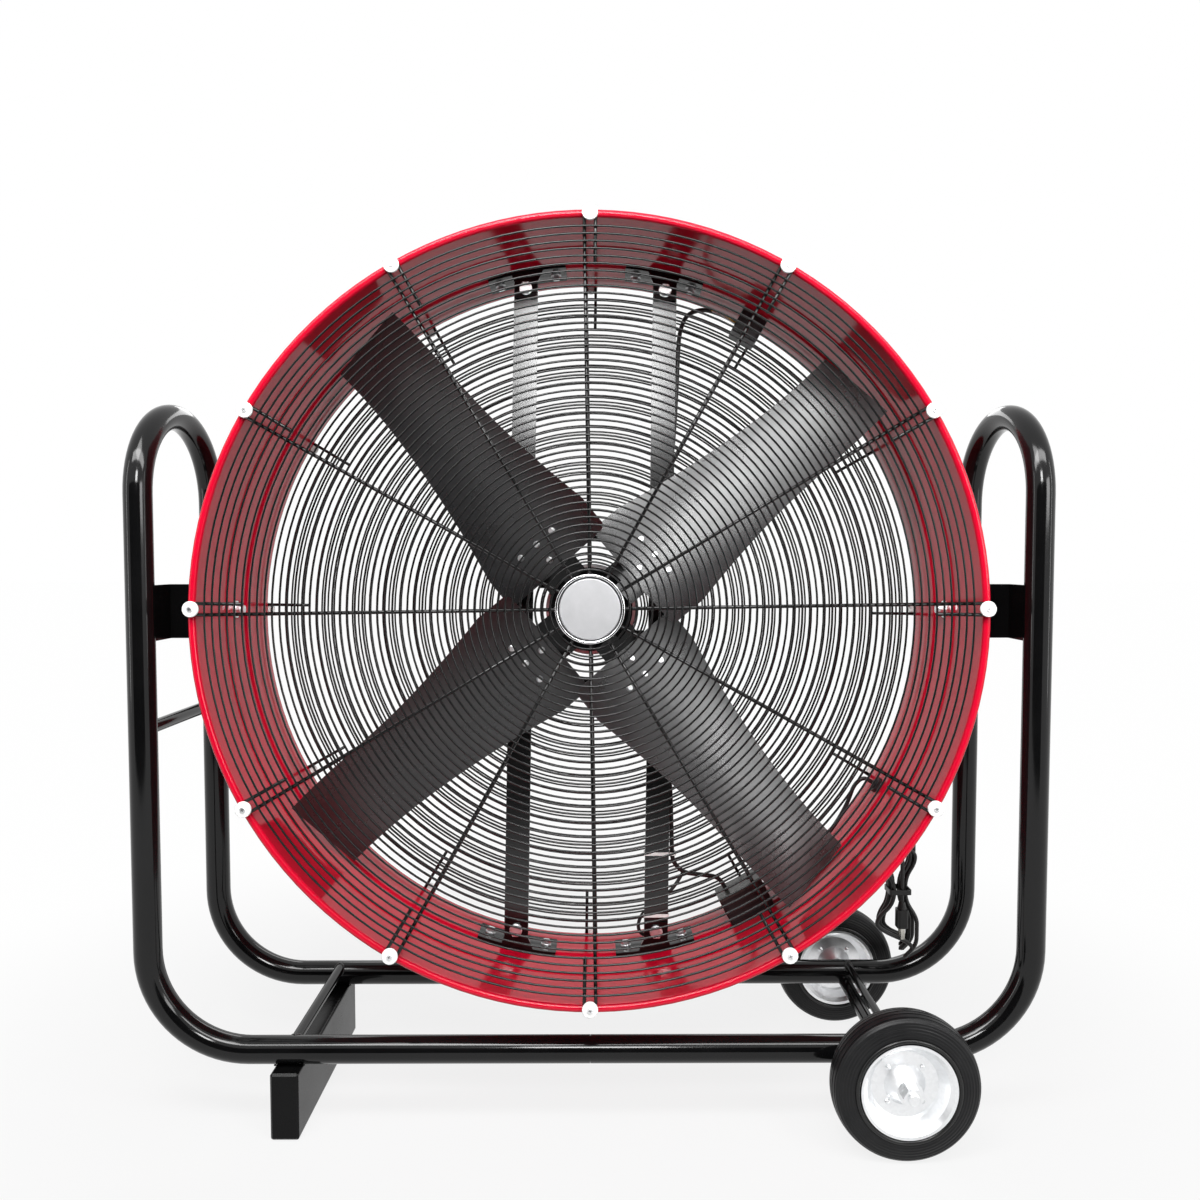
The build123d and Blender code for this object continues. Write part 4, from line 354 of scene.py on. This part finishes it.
def join_rings(work, rings, closed):
    """Adds the faces between rings of vertices, each with as many as the next."""
    following = rings[1:] + rings[:1] if closed else rings[1:]
    sides = len(rings[0])
    for low, high in zip(rings, following):
        for side in range(sides):
            after = (side + 1) % sides
            work.faces.new((low[side], low[after], high[after], high[side]))


def add_turned(work, place, profile, steps=24):
    """Adds a solid of revolution about the local z axis from (radius, height) pairs."""
    rings = []
    for radius, height in profile:
        if not radius:
            rings.append([work.verts.new(place @ Vector((0, 0, height)))])
            continue
        ring = []
        for step in range(steps):
            turn = FULL_TURN * step / steps
            spot = Vector((radius * math.cos(turn), radius * math.sin(turn), height))
            ring.append(work.verts.new(place @ spot))
        rings.append(ring)
    for low, high in zip(rings, rings[1:]):
        for step in range(steps):
            after = (step + 1) % steps
            if len(low) == 1:
                work.faces.new((low[0], high[step], high[after]))
            elif len(high) == 1:
                work.faces.new((low[step], low[after], high[0]))
            else:
                work.faces.new((low[step], low[after], high[after], high[step]))


def add_block(work, place, lengths):
    """Adds a box about the local origin."""
    made = bmesh.ops.create_cube(work, size=1.0)["verts"]
    sizing = Matrix.Diagonal((*lengths, 1.0))
    bmesh.ops.transform(work, matrix=place @ sizing, verts=made)


def add_ring(work, place, radius, wire, steps, sides=8):
    """Adds a closed ring of round wire about the local z axis."""
    rings = []
    for step in range(steps):
        turn = FULL_TURN * step / steps
        ring = []
        for side in range(sides):
            tilt = FULL_TURN * (side + 0.5) / sides
            out = radius + wire * math.cos(tilt)
            spot = Vector((out * math.cos(turn), out * math.sin(turn), wire * math.sin(tilt)))
            ring.append(work.verts.new(place @ spot))
        rings.append(ring)
    join_rings(work, rings, True)


def nurbs(name, points, radius, material, body):
    """One open quadratic NURBS tube led by its control points."""
    data = bpy.data.curves.new(name, "CURVE")
    data.dimensions = "3D"
    data.bevel_depth = radius
    data.bevel_resolution = 5
    data.resolution_u = 6
    data.use_fill_caps = True
    spline = data.splines.new("NURBS")
    spline.points.add(len(points) - 1)
    for point, spot in zip(spline.points, points):
        point.co = (*spot, 1.0)
    spline.order_u = 3
    spline.use_endpoint_u = True
    data.materials.append(material)
    item = bpy.data.objects.new(name, data)
    bpy.context.scene.collection.objects.link(item)
    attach(item, body)
    return item


# --------------------------------------------------------------------------- cord
# The cord leaves the gland, drops to the hank, and runs through its strands.
CORD_DIAMETER = 0.0065
CORD_EXIT = (0.49170, 0.05900, 0.43423)
ROUTE_TO_HANK = [
    CORD_EXIT,
    (0.51725, 0.05812, 0.41853),
    (0.52400, 0.05890, 0.38850),
]
HANK = Vector((0.496, 0.055, 0.284))
HALF_HEIGHT = 0.074                 # from the hank's middle to where its lobes turn
SHOULDER = 0.58                     # share of that height where a strand leaves its lobe
WAIST = 0.26                        # share of that height where a strand is gathered
LOBE_STEP = math.radians(45.0)
LOBE_POINTS = 4
REAR, FRONT, LAST = 0.0039, -0.0039, -0.0167
# each strand's x at the lobes, its x at the tie, and its layer at the start, tie and end
STRANDS = [
    (0.028, 0.0126, REAR, REAR, REAR),
    (-0.028, -0.0126, REAR, REAR, REAR),
    (0.020, 0.0046, REAR, REAR, REAR),
    (-0.020, -0.0046, REAR, REAR, FRONT),
    (0.020, 0.0046, FRONT, FRONT, FRONT),
    (-0.028, -0.0126, FRONT, FRONT, FRONT),
    (0.028, 0.0126, FRONT, FRONT, LAST),
    (-0.036, -0.0090, LAST, LAST, LAST),
]
PLUG_X = 0.0035
PLUG_TOP = -0.016
PLUG_LEAD = 0.4                     # share of the half height where the cord lines up with the plug


def hank_points():
    """Control points of the hank: six to a strand and four to the half turn after it."""
    lobes = [strand[0] for strand in STRANDS] + [PLUG_X]
    radii = [abs(after - lobe) / 2 for lobe, after in zip(lobes, lobes[1:])]
    ease = math.tan(LOBE_STEP / 2)
    points = []
    way = -1
    for number, (lobe, tied, first, middle, last) in enumerate(STRANDS):
        start = HALF_HEIGHT - radii[number - 1] * ease if number else HALF_HEIGHT + CORD_DIAMETER
        end = HALF_HEIGHT - radii[number] * ease
        points += [
            (lobe, first, -way * start),
            (lobe, first, -way * HALF_HEIGHT * SHOULDER),
            (tied, middle, -way * HALF_HEIGHT * WAIST),
            (tied, middle, way * HALF_HEIGHT * WAIST),
            (lobe, last, way * HALF_HEIGHT * SHOULDER),
            (lobe, last, way * end),
        ]
        following = lobes[number + 1]
        centre = (lobe + following) / 2
        reach = radii[number] / math.cos(LOBE_STEP / 2)
        for step in range(LOBE_POINTS):
            turn = LOBE_STEP * (step + 0.5)
            x = centre + math.copysign(reach * math.cos(turn), lobe - following)
            points.append((x, last, way * (HALF_HEIGHT + reach * math.sin(turn))))
        way = -way
    points += [
        (PLUG_X, LAST, HALF_HEIGHT - radii[-1] * ease),
        (PLUG_X, LAST, HALF_HEIGHT * PLUG_LEAD),
        (PLUG_X, LAST, PLUG_TOP),
    ]
    return [HANK + Vector(point) for point in points]


cord = nurbs("supply_lead", [Vector(p) for p in ROUTE_TO_HANK] + hank_points(),
             CORD_DIAMETER / 2, CORD, "drum")
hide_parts("supply_cord", "cord_hank")

# ------------------------------------------------------------------------ camera
CAMERA_PLACE = (0.0087, -1.420, 0.820)
CAMERA_PITCH = math.radians(87.364)
CAMERA_YAW = math.radians(-0.229)
SENSOR = 36.0
PHOTO_PX = 1200
FOCAL_PX = 924                      # focal length in pixels of the photograph

lens = bpy.data.cameras.new("camera")
lens.sensor_width = SENSOR
lens.lens = SENSOR * FOCAL_PX / PHOTO_PX
lens.clip_start = 0.05
lens.clip_end = 100.0
camera = bpy.data.objects.new("camera", lens)
camera.location = CAMERA_PLACE
camera.rotation_euler = (CAMERA_PITCH, 0.0, CAMERA_YAW)
bpy.context.scene.collection.objects.link(camera)
bpy.context.scene.camera = camera

# ------------------------------------------------------------------------- welds
WELD_R = 0.0020
SIDE_WELD_R = 0.0022
WELD_SIDES = 8
WELD_FLATTEN = 0.75                 # height of a bead against its width
WELD_END = 0.45                     # size of a bead's end against its middle
WELD_RIPPLE = 0.16
WELD_RIPPLE_TURN = 2.1              # radians of ripple from one ring to the next
WELD_UNEVEN = 0.10
SADDLE_STEPS = 26
SADDLE_LEAN = 0.6                   # how far a saddle weld leans away from its tube
FOOT_WELD_STEPS = 15
FOOT_WELD_STEP = 0.001
FOOT_WELD_GAP = 0.0004
FOOT_WELD_LEAN = 0.7                # outwards and upwards alike
rng = random.Random(7)


def add_bead(work, points, normals, size, closed):
    """Adds a rippled weld bead along points; its height is along each normal."""
    rings = []
    count = len(points)
    for index, (spot, up) in enumerate(zip(points, normals)):
        before = points[index - 1] if closed or index else spot
        after = points[(index + 1) % count] if closed or index < count - 1 else spot
        along = (after - before).normalized()
        across = along.cross(up).normalized()
        wave = WELD_RIPPLE * math.sin(index * WELD_RIPPLE_TURN)
        ripple = size * (1.0 + wave + WELD_UNEVEN * (rng.random() - 0.5))
        if not closed and index in (0, count - 1):
            ripple *= WELD_END
        ring = []
        for side in range(WELD_SIDES):
            turn = FULL_TURN * side / WELD_SIDES
            offset = across * math.cos(turn) + up * math.sin(turn) * WELD_FLATTEN
            ring.append(work.verts.new(spot + offset * ripple))
        rings.append(ring)
    join_rings(work, rings, closed)
    if not closed:
        work.faces.new(list(reversed(rings[0])))
        work.faces.new(rings[-1])


def saddle(x, z, radius, side, tube_x=None, tube_z=None):
    """Where a rod along Y meets the inner side of a tube, upright at tube_x or level at tube_z."""
    points, normals = [], []
    for step in range(SADDLE_STEPS):
        turn = FULL_TURN * step / SADDLE_STEPS
        out = Vector((math.cos(turn), 0.0, math.sin(turn)))
        away = z + radius * out.z - tube_z if tube_x is None else x + radius * out.x - tube_x
        reach = math.sqrt(max(0.0, TUBE_R ** 2 - away ** 2))
        points.append(Vector((x + radius * out.x, side * (SIDE_Y - reach), z + radius * out.z)))
        normals.append((out + Vector((0.0, -side * SADDLE_LEAN, 0.0))).normalized())
    return points, normals


welds = bmesh.new()
for side in (-1, 1):
    for x, z, radius in CROSS_RODS:
        add_bead(welds, *saddle(x, z, radius, side, tube_z=BASE_Z), WELD_R, True)
    add_bead(welds, *saddle(-SIDE_X, SIDE_ROD_Z, SIDE_ROD_R, side, tube_x=-SIDE_X), SIDE_WELD_R, True)
    # along the foot's two edges, under the base tube
    for edge in (-1, 1):
        x = FOOT_X + edge * (FOOT_HALF_WIDTH + FOOT_WELD_GAP)
        steps = [FOOT_WELD_STEP * (step - FOOT_WELD_STEPS // 2) for step in range(FOOT_WELD_STEPS)]
        line = [Vector((x, side * SIDE_Y + along, FOOT_TOP - FOOT_WELD_GAP)) for along in steps]
        up = [Vector((edge * FOOT_WELD_LEAN, 0.0, FOOT_WELD_LEAN))] * len(line)
        add_bead(welds, line, up, WELD_R, False)
piece("frame_welds", finish_mesh("frame_welds", welds), WELD, "frame")

# ----------------------------------------------------------------------- grilles
# Each clip holds one long spoke and one short spoke beside it. A ring has
# RING_STEPS steps, and MORE_STEPS for each MORE_RADIUS of its radius.
RING_COUNT = 47
RING_FIRST = 0.055
RING_LAST = 0.530
RING_R = 0.0015
RING_Z = 0.1510
RING_STEPS = 48
MORE_STEPS = 8
MORE_RADIUS = 0.05
SPOKE_R = 0.0025
SPOKE_Z = 0.1471
SPOKE_INNER = 0.022                 # where a long spoke starts
SHORT_SPOKE_INNER = 0.478
SPOKE_OUTER = 0.5515
SPOKE_SPREAD = math.radians(0.83)   # half the angle between the two
SPOKE_SIDES = 12
SPOKE_EASE = 0.0006                 # length of the chamfer at a spoke's ends
SPOKE_TIP = 0.8                     # share of its radius that a spoke's end keeps
NUGGET = [(0.0021, -0.0006), (0.0014, 0.0004), (0.0, 0.0008)]
NUGGET_SIDES = 6


def grille(name, node, face):
    """Round wires that stand for a grille: rings over pairs of spokes, with a nugget at each weld."""
    work = bmesh.new()
    middle = axes(on_drum(0.0, 0.0, face * RING_Z), DRUM_RIGHT, DRUM_FRONT)
    radii = [RING_FIRST + (RING_LAST - RING_FIRST) * step / (RING_COUNT - 1) for step in range(RING_COUNT)]
    for radius in radii:
        steps = RING_STEPS + MORE_STEPS * round(radius / MORE_RADIUS)
        add_ring(work, middle, radius, RING_R, steps)
    for inner, spread in ((SPOKE_INNER, SPOKE_SPREAD), (SHORT_SPOKE_INNER, -SPOKE_SPREAD)):
        length = SPOKE_OUTER - inner
        spoke = [(0.0, 0.0), (SPOKE_R * SPOKE_TIP, 0.0), (SPOKE_R, SPOKE_EASE),
                 (SPOKE_R, length - SPOKE_EASE), (SPOKE_R * SPOKE_TIP, length), (0.0, length)]
        for number in range(CLIP_COUNT):
            turn = FULL_TURN * number / CLIP_COUNT + spread
            out = DRUM_RIGHT * math.cos(turn) + DRUM_UP * math.sin(turn)
            start = on_drum(0.0, 0.0, face * SPOKE_Z) + out * inner
            add_turned(work, axes(start, DRUM_FRONT, out), spoke, SPOKE_SIDES)
            for radius in radii:
                if radius < inner:
                    continue
                spot = on_drum(0.0, 0.0, face * (SPOKE_Z + SPOKE_R)) + out * radius
                add_turned(work, axes(spot, out, DRUM_FRONT * face), NUGGET, NUGGET_SIDES)
    item = piece(name, finish_mesh(name, work), WIRE, "drum")
    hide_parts(node)


grille("grille_wires_front", "front_grille", 1)
grille("grille_wires_rear", "rear_grille", -1)

# A black ring laid in the badge's groove: painted shade, standing for the shadow deep in the narrow
# groove.
GROOVE_SHADE_Z = 0.1513
GROOVE_SHADE_IN = 0.0425
GROOVE_SHADE_OUT = 0.0441
GROOVE_SHADE_CREST = 0.0433
GROOVE_SHADE_EDGE = 0.0030
GROOVE_SHADE_TOP = 0.0034
GROOVE_SHADE_STEPS = 96
SEAM = 1e-6                         # merges the first and last ring, which lie on each other
groove_shade = bmesh.new()
add_turned(groove_shade, axes(on_drum(0.0, 0.0, GROOVE_SHADE_Z), DRUM_RIGHT, DRUM_FRONT),
           [(GROOVE_SHADE_IN, 0.0), (GROOVE_SHADE_OUT, 0.0), (GROOVE_SHADE_OUT, GROOVE_SHADE_EDGE), (GROOVE_SHADE_CREST, GROOVE_SHADE_TOP),
            (GROOVE_SHADE_IN, GROOVE_SHADE_EDGE), (GROOVE_SHADE_IN, 0.0)], GROOVE_SHADE_STEPS)
bmesh.ops.remove_doubles(groove_shade, verts=groove_shade.verts, dist=SEAM)
piece("badge_groove_shade", finish_mesh("badge_groove_shade", groove_shade), PLASTIC, "drum")

# ----------------------------------------------------------- wires inside the drum
SWITCH_WIRE_R = 0.0011
SWITCH_WIRES = (
    ("switch_wire_yellow", YELLOW,
     ((0.196, 0.4850, -0.0745), (0.204, 0.4830, -0.0712), (0.212, 0.4795, -0.0700),
      (0.220, 0.4750, -0.0716), (0.228, 0.4705, -0.0750), (0.236, 0.4660, -0.0790))),
    ("switch_wire_white", MARK,
     ((0.197, 0.4835, -0.0735), (0.206, 0.4790, -0.0700), (0.214, 0.4745, -0.0690),
      (0.222, 0.4700, -0.0710), (0.230, 0.4665, -0.0752), (0.237, 0.4640, -0.0800))),
)
for name, finish, route in SWITCH_WIRES:
    nurbs(name, [on_drum(*point) for point in route], SWITCH_WIRE_R, finish, "drum")

# A thin lead branches from the cable, passes behind the strap and ends at its bolt.
EARTH_LEAD_R = 0.0028
EARTH_ROUTE = (
    (0.1465, -0.4200, -0.0550),
    (0.1380, -0.4350, -0.0530),
    (0.1180, -0.4560, -0.0475),
    (0.0960, -0.4700, -0.0470),
    (0.0800, -0.4830, -0.0455),
    (0.0735, -0.5010, -0.0450),
    (0.0800, -0.5170, -0.0460),
    (0.0990, -0.5180, -0.0475),
)
nurbs("earth_lead", [on_drum(*point) for point in EARTH_ROUTE], EARTH_LEAD_R,
      CORD, "drum")

# ------------------------------------------------------------------ dial and knob
DIAL_STEP = math.radians(-45.0)
DIAL_POSITIONS = 4
TICK_CIRCLE = 0.0225
TICK_GAP = 0.0022
TICK_SIZE = (0.0036, 0.0011, 0.0003)
POINTER_OUT = 0.010
POINTER_SIZE = (0.009, 0.0014, 0.0003)

joints = {joint["name"]: joint for joint in frame["record"]["behaviour"]["joints"]}
speed_turn = joints["speed_turn"]
dial_axis = Vector(speed_turn["axis"]).normalized()
dial_middle = Vector(speed_turn["pos_m"])
dial_rest = (Vector((0.0, 1.0, 0.0)) - dial_axis * dial_axis.y).normalized()


def face_centre(node):
    """The point of the dial's axis where a node's outer face lies."""
    height = max((vert.co - dial_middle).dot(dial_axis) for vert in nodes[node].data.vertices)
    return dial_middle + dial_axis * height


ticks = bmesh.new()
for position in range(DIAL_POSITIONS):
    turned = Matrix.Rotation(DIAL_STEP * position, 3, dial_axis) @ dial_rest
    for step in range(position + 1):
        side = dial_axis.cross(turned) * TICK_GAP * (step - position / 2)
        spot = face_centre("dial_plate") + turned * TICK_CIRCLE + side
        add_block(ticks, axes(spot, turned, dial_axis), TICK_SIZE)
piece("dial_ticks", finish_mesh("dial_ticks", ticks, False), PLASTIC, "drum")

pointer = bmesh.new()
pointer_middle = face_centre("speed_knob") + dial_rest * POINTER_OUT
add_block(pointer, axes(pointer_middle, dial_rest, dial_axis), POINTER_SIZE)
piece("knob_pointer", finish_mesh("knob_pointer", pointer, False), MARK, "knob")

# ------------------------------------------------------------------------- wheels
RIVET_COUNT = 4
RIVET_CIRCLE = 0.0335
RIVET = [(0.0, 0.0), (0.0038, 0.0), (0.0038, 0.0022),
         (0.0033, 0.0034), (0.0018, 0.0042), (0.0, 0.0044)]
TYRE_BEAD_CIRCLE = 0.0700           # where the tyre meets the rim
TYRE_BEAD_REACH = 0.0212            # from the wheel's middle along the axle
TYRE_BEAD_R = 0.0032
TYRE_BEAD_STEPS = 96
TYRE_BEAD_SIDES = 10
WHEEL_SIDES = (("front", -1), ("rear", 1))

for wheel, side in WHEEL_SIDES:
    rivets = bmesh.new()
    for number in range(RIVET_COUNT):
        turn = FULL_TURN * (number + 0.5) / RIVET_COUNT
        spot = (WHEEL_X + RIVET_CIRCLE * math.cos(turn), side * WHEEL_Y,
                AXLE_Z + RIVET_CIRCLE * math.sin(turn))
        for face in (-1, 1):
            add_turned(rivets, axes(spot, (1, 0, 0), (0, face, 0)), RIVET)
    piece("rim_rivets_" + wheel, finish_mesh("rim_rivets_" + wheel, rivets), ZINC,
          "wheel_" + wheel)

for wheel, side in WHEEL_SIDES:
    beads = bmesh.new()
    for face in (-1, 1):
        place = axes((WHEEL_X, side * WHEEL_Y + face * TYRE_BEAD_REACH, AXLE_Z), (1, 0, 0), (0, face, 0))
        add_ring(beads, place, TYRE_BEAD_CIRCLE, TYRE_BEAD_R, TYRE_BEAD_STEPS, TYRE_BEAD_SIDES)
    piece("tire_bead_" + wheel, finish_mesh("tire_bead_" + wheel, beads), BEAD_RUBBER,
          "wheel_" + wheel)

# -------------------------------------------------------- dark crosses on the clip screws: painted shade of their sunken slots
SCREW_TOP = 0.1554
CROSS_LENGTH = 0.0044
CROSS_WIDTH = 0.0009
CROSS_DEPTH = 0.0003
# Each thin dark cross is painted shade, standing for the shadow inside a screw's cross slot.
cross_shade = bmesh.new()
for face in (1, -1):
    for number in range(CLIP_COUNT):
        turn = FULL_TURN * number / CLIP_COUNT
        spot = on_drum(CLIP_RADIUS * math.cos(turn), CLIP_RADIUS * math.sin(turn), face * SCREW_TOP)
        spin = rng.random() * math.pi
        right = DRUM_RIGHT * math.cos(spin) + DRUM_UP * math.sin(spin)
        place = axes(spot, right, DRUM_FRONT * face)
        add_block(cross_shade, place, (CROSS_LENGTH, CROSS_WIDTH, CROSS_DEPTH))
        add_block(cross_shade, place, (CROSS_WIDTH, CROSS_LENGTH, CROSS_DEPTH))
piece("clip_screw_cross_shade", finish_mesh("clip_screw_cross_shade", cross_shade, False), IRON, "drum")

# ------------------------------------------------------------------------- stage
WHITE = (1.0, 1.0, 1.0, 1.0)
FLOOR = 30.0                        # half the floor's width
FLOOR_DROP = 0.0005
FLOOR_SCALE = 3.0
FLOOR_DARK = 0.47
FLOOR_LIGHT = 0.53
FLOOR_NEAR, FLOOR_NEAR_SHARE = 0.5, 0.84    # round the fan the floor takes its shadow
FLOOR_FAR, FLOOR_FAR_SHARE = 1.5, 0.995     # further out it is as white as the wall
WORLD_LIGHT = 0.10


def plane(name, corners, material):
    """A flat face with four corners."""
    mesh = bpy.data.meshes.new(name)
    mesh.from_pydata(corners, [], [(0, 1, 2, 3)])
    mesh.materials.append(material)
    item = bpy.data.objects.new(name, mesh)
    bpy.context.scene.collection.objects.link(item)
    return item


def background_share(tree):
    """1 for rays that see the background directly, in a mirror or through glass."""
    path = tree.nodes.new("ShaderNodeLightPath")
    total = path.outputs["Is Camera Ray"]
    for name in ("Is Glossy Ray", "Is Transmission Ray"):
        either = tree.nodes.new("ShaderNodeMath")
        either.operation = "MAXIMUM"
        tree.links.new(total, either.inputs[0])
        tree.links.new(path.outputs[name], either.inputs[1])
        total = either.outputs[0]
    return total


def floor_material():
    """Pale floor whose share of plain white grows with the distance from the fan."""
    material = bpy.data.materials.new("pale_floor")
    material.use_nodes = True
    tree = material.node_tree
    tree.nodes.clear()
    speckle = tree.nodes.new("ShaderNodeTexNoise")
    speckle.inputs["Scale"].default_value = FLOOR_SCALE
    tone = tree.nodes.new("ShaderNodeValToRGB")
    for element, level in zip(tone.color_ramp.elements, (FLOOR_DARK, FLOOR_LIGHT)):
        element.color = (level, level, level, 1.0)
    diffuse = tree.nodes.new("ShaderNodeBsdfDiffuse")
    tree.links.new(speckle.outputs["Fac"], tone.inputs["Fac"])
    tree.links.new(tone.outputs["Color"], diffuse.inputs["Color"])
    place = tree.nodes.new("ShaderNodeTexCoord")
    reach = tree.nodes.new("ShaderNodeVectorMath")
    reach.operation = "LENGTH"
    tree.links.new(place.outputs["Object"], reach.inputs[0])
    fade = tree.nodes.new("ShaderNodeMapRange")
    fade.interpolation_type = "SMOOTHSTEP"
    fade.inputs["From Min"].default_value = FLOOR_NEAR
    fade.inputs["From Max"].default_value = FLOOR_FAR
    fade.inputs["To Min"].default_value = FLOOR_NEAR_SHARE
    fade.inputs["To Max"].default_value = FLOOR_FAR_SHARE
    tree.links.new(reach.outputs["Value"], fade.inputs["Value"])
    share = tree.nodes.new("ShaderNodeMath")
    share.operation = "MULTIPLY"
    tree.links.new(background_share(tree), share.inputs[0])
    tree.links.new(fade.outputs["Result"], share.inputs[1])
    glow = tree.nodes.new("ShaderNodeEmission")
    glow.inputs["Strength"].default_value = 1.0
    blend = tree.nodes.new("ShaderNodeMixShader")
    tree.links.new(share.outputs[0], blend.inputs["Fac"])
    tree.links.new(diffuse.outputs[0], blend.inputs[1])
    tree.links.new(glow.outputs[0], blend.inputs[2])
    out = tree.nodes.new("ShaderNodeOutputMaterial")
    tree.links.new(blend.outputs[0], out.inputs["Surface"])
    return material


def light_world():
    """A world that looks white and lights the fan only a little."""
    world = bpy.data.worlds.new("studio")
    bpy.context.scene.world = world
    world.use_nodes = True
    tree = world.node_tree
    tree.nodes.clear()
    choose = tree.nodes.new("ShaderNodeMixShader")
    tree.links.new(background_share(tree), choose.inputs["Fac"])
    for socket, strength in ((1, WORLD_LIGHT), (2, 1.0)):
        light = tree.nodes.new("ShaderNodeBackground")
        light.inputs["Color"].default_value = WHITE
        light.inputs["Strength"].default_value = strength
        tree.links.new(light.outputs[0], choose.inputs[socket])
    sky = tree.nodes.new("ShaderNodeOutputWorld")
    tree.links.new(choose.outputs[0], sky.inputs["Surface"])


def softbox(name, place, target, size, radiance):
    """A rectangular lamp whose face shines with this radiance."""
    data = bpy.data.lights.new(name, "AREA")
    data.shape = "RECTANGLE"
    data.size, data.size_y = size
    data.energy = radiance * math.pi * size[0] * size[1]
    item = bpy.data.objects.new(name, data)
    item.location = place
    item.rotation_euler = (Vector(target) - Vector(place)).to_track_quat("-Z", "Y").to_euler()
    bpy.context.scene.collection.objects.link(item)


floor_corners = [(-FLOOR, -FLOOR, 0), (FLOOR, -FLOOR, 0), (FLOOR, FLOOR, 0), (-FLOOR, FLOOR, 0)]
floor = plane("floor", floor_corners, floor_material())
floor.location = (0.0, 0.0, -FLOOR_DROP)
light_world()

# name, place, target, size and radiance
softbox("top", (0.0, -1.25, 2.25), (0.0, 0.0, 0.45), (3.4, 0.42), 11.0)
softbox("upper_left", (-0.50, -1.27, 2.60), (0.25, 0.0, 0.90), (1.1, 0.75), 9.0)
softbox("front", (0.0, -2.4, 1.93), (0.0, 0.0, 1.0), (0.62, 0.54), 31.0)
softbox("low_right", (1.95, -2.1, 1.35), (0.1, 0.0, 0.75), (1.1, 0.8), 9.0)
softbox("left", (-2.6, -0.9, 1.2), (0.0, 0.0, 0.7), (0.16, 1.8), 6.0)
softbox("right", (2.6, -0.9, 1.2), (0.0, 0.0, 0.7), (0.16, 1.8), 6.0)
softbox("back", (0.0, 2.4, 2.2), (0.0, 0.0, 0.75), (2.4, 0.6), 4.0)

# A dark card behind the camera, which gives gloss black its depth.
CARD_Y = -2.2
CARD_LEFT, CARD_RIGHT = -2.6, 1.25
CARD_BOTTOM, CARD_TOP = 0.01, 1.55
felt = Shader("card_felt")
felt.color(felt.noise(60.0, 5.0), (0.010, 0.010, 0.010), (0.016, 0.016, 0.016))
felt.set(Roughness=0.95, Specular_IOR_Level=0.0)
card_corners = [(CARD_LEFT, CARD_Y, CARD_BOTTOM), (CARD_RIGHT, CARD_Y, CARD_BOTTOM),
                (CARD_RIGHT, CARD_Y, CARD_TOP), (CARD_LEFT, CARD_Y, CARD_TOP)]
card = plane("studio_card", card_corners, felt.material)
card.visible_camera = False

bpy.context.scene.view_settings.view_transform = "Standard"
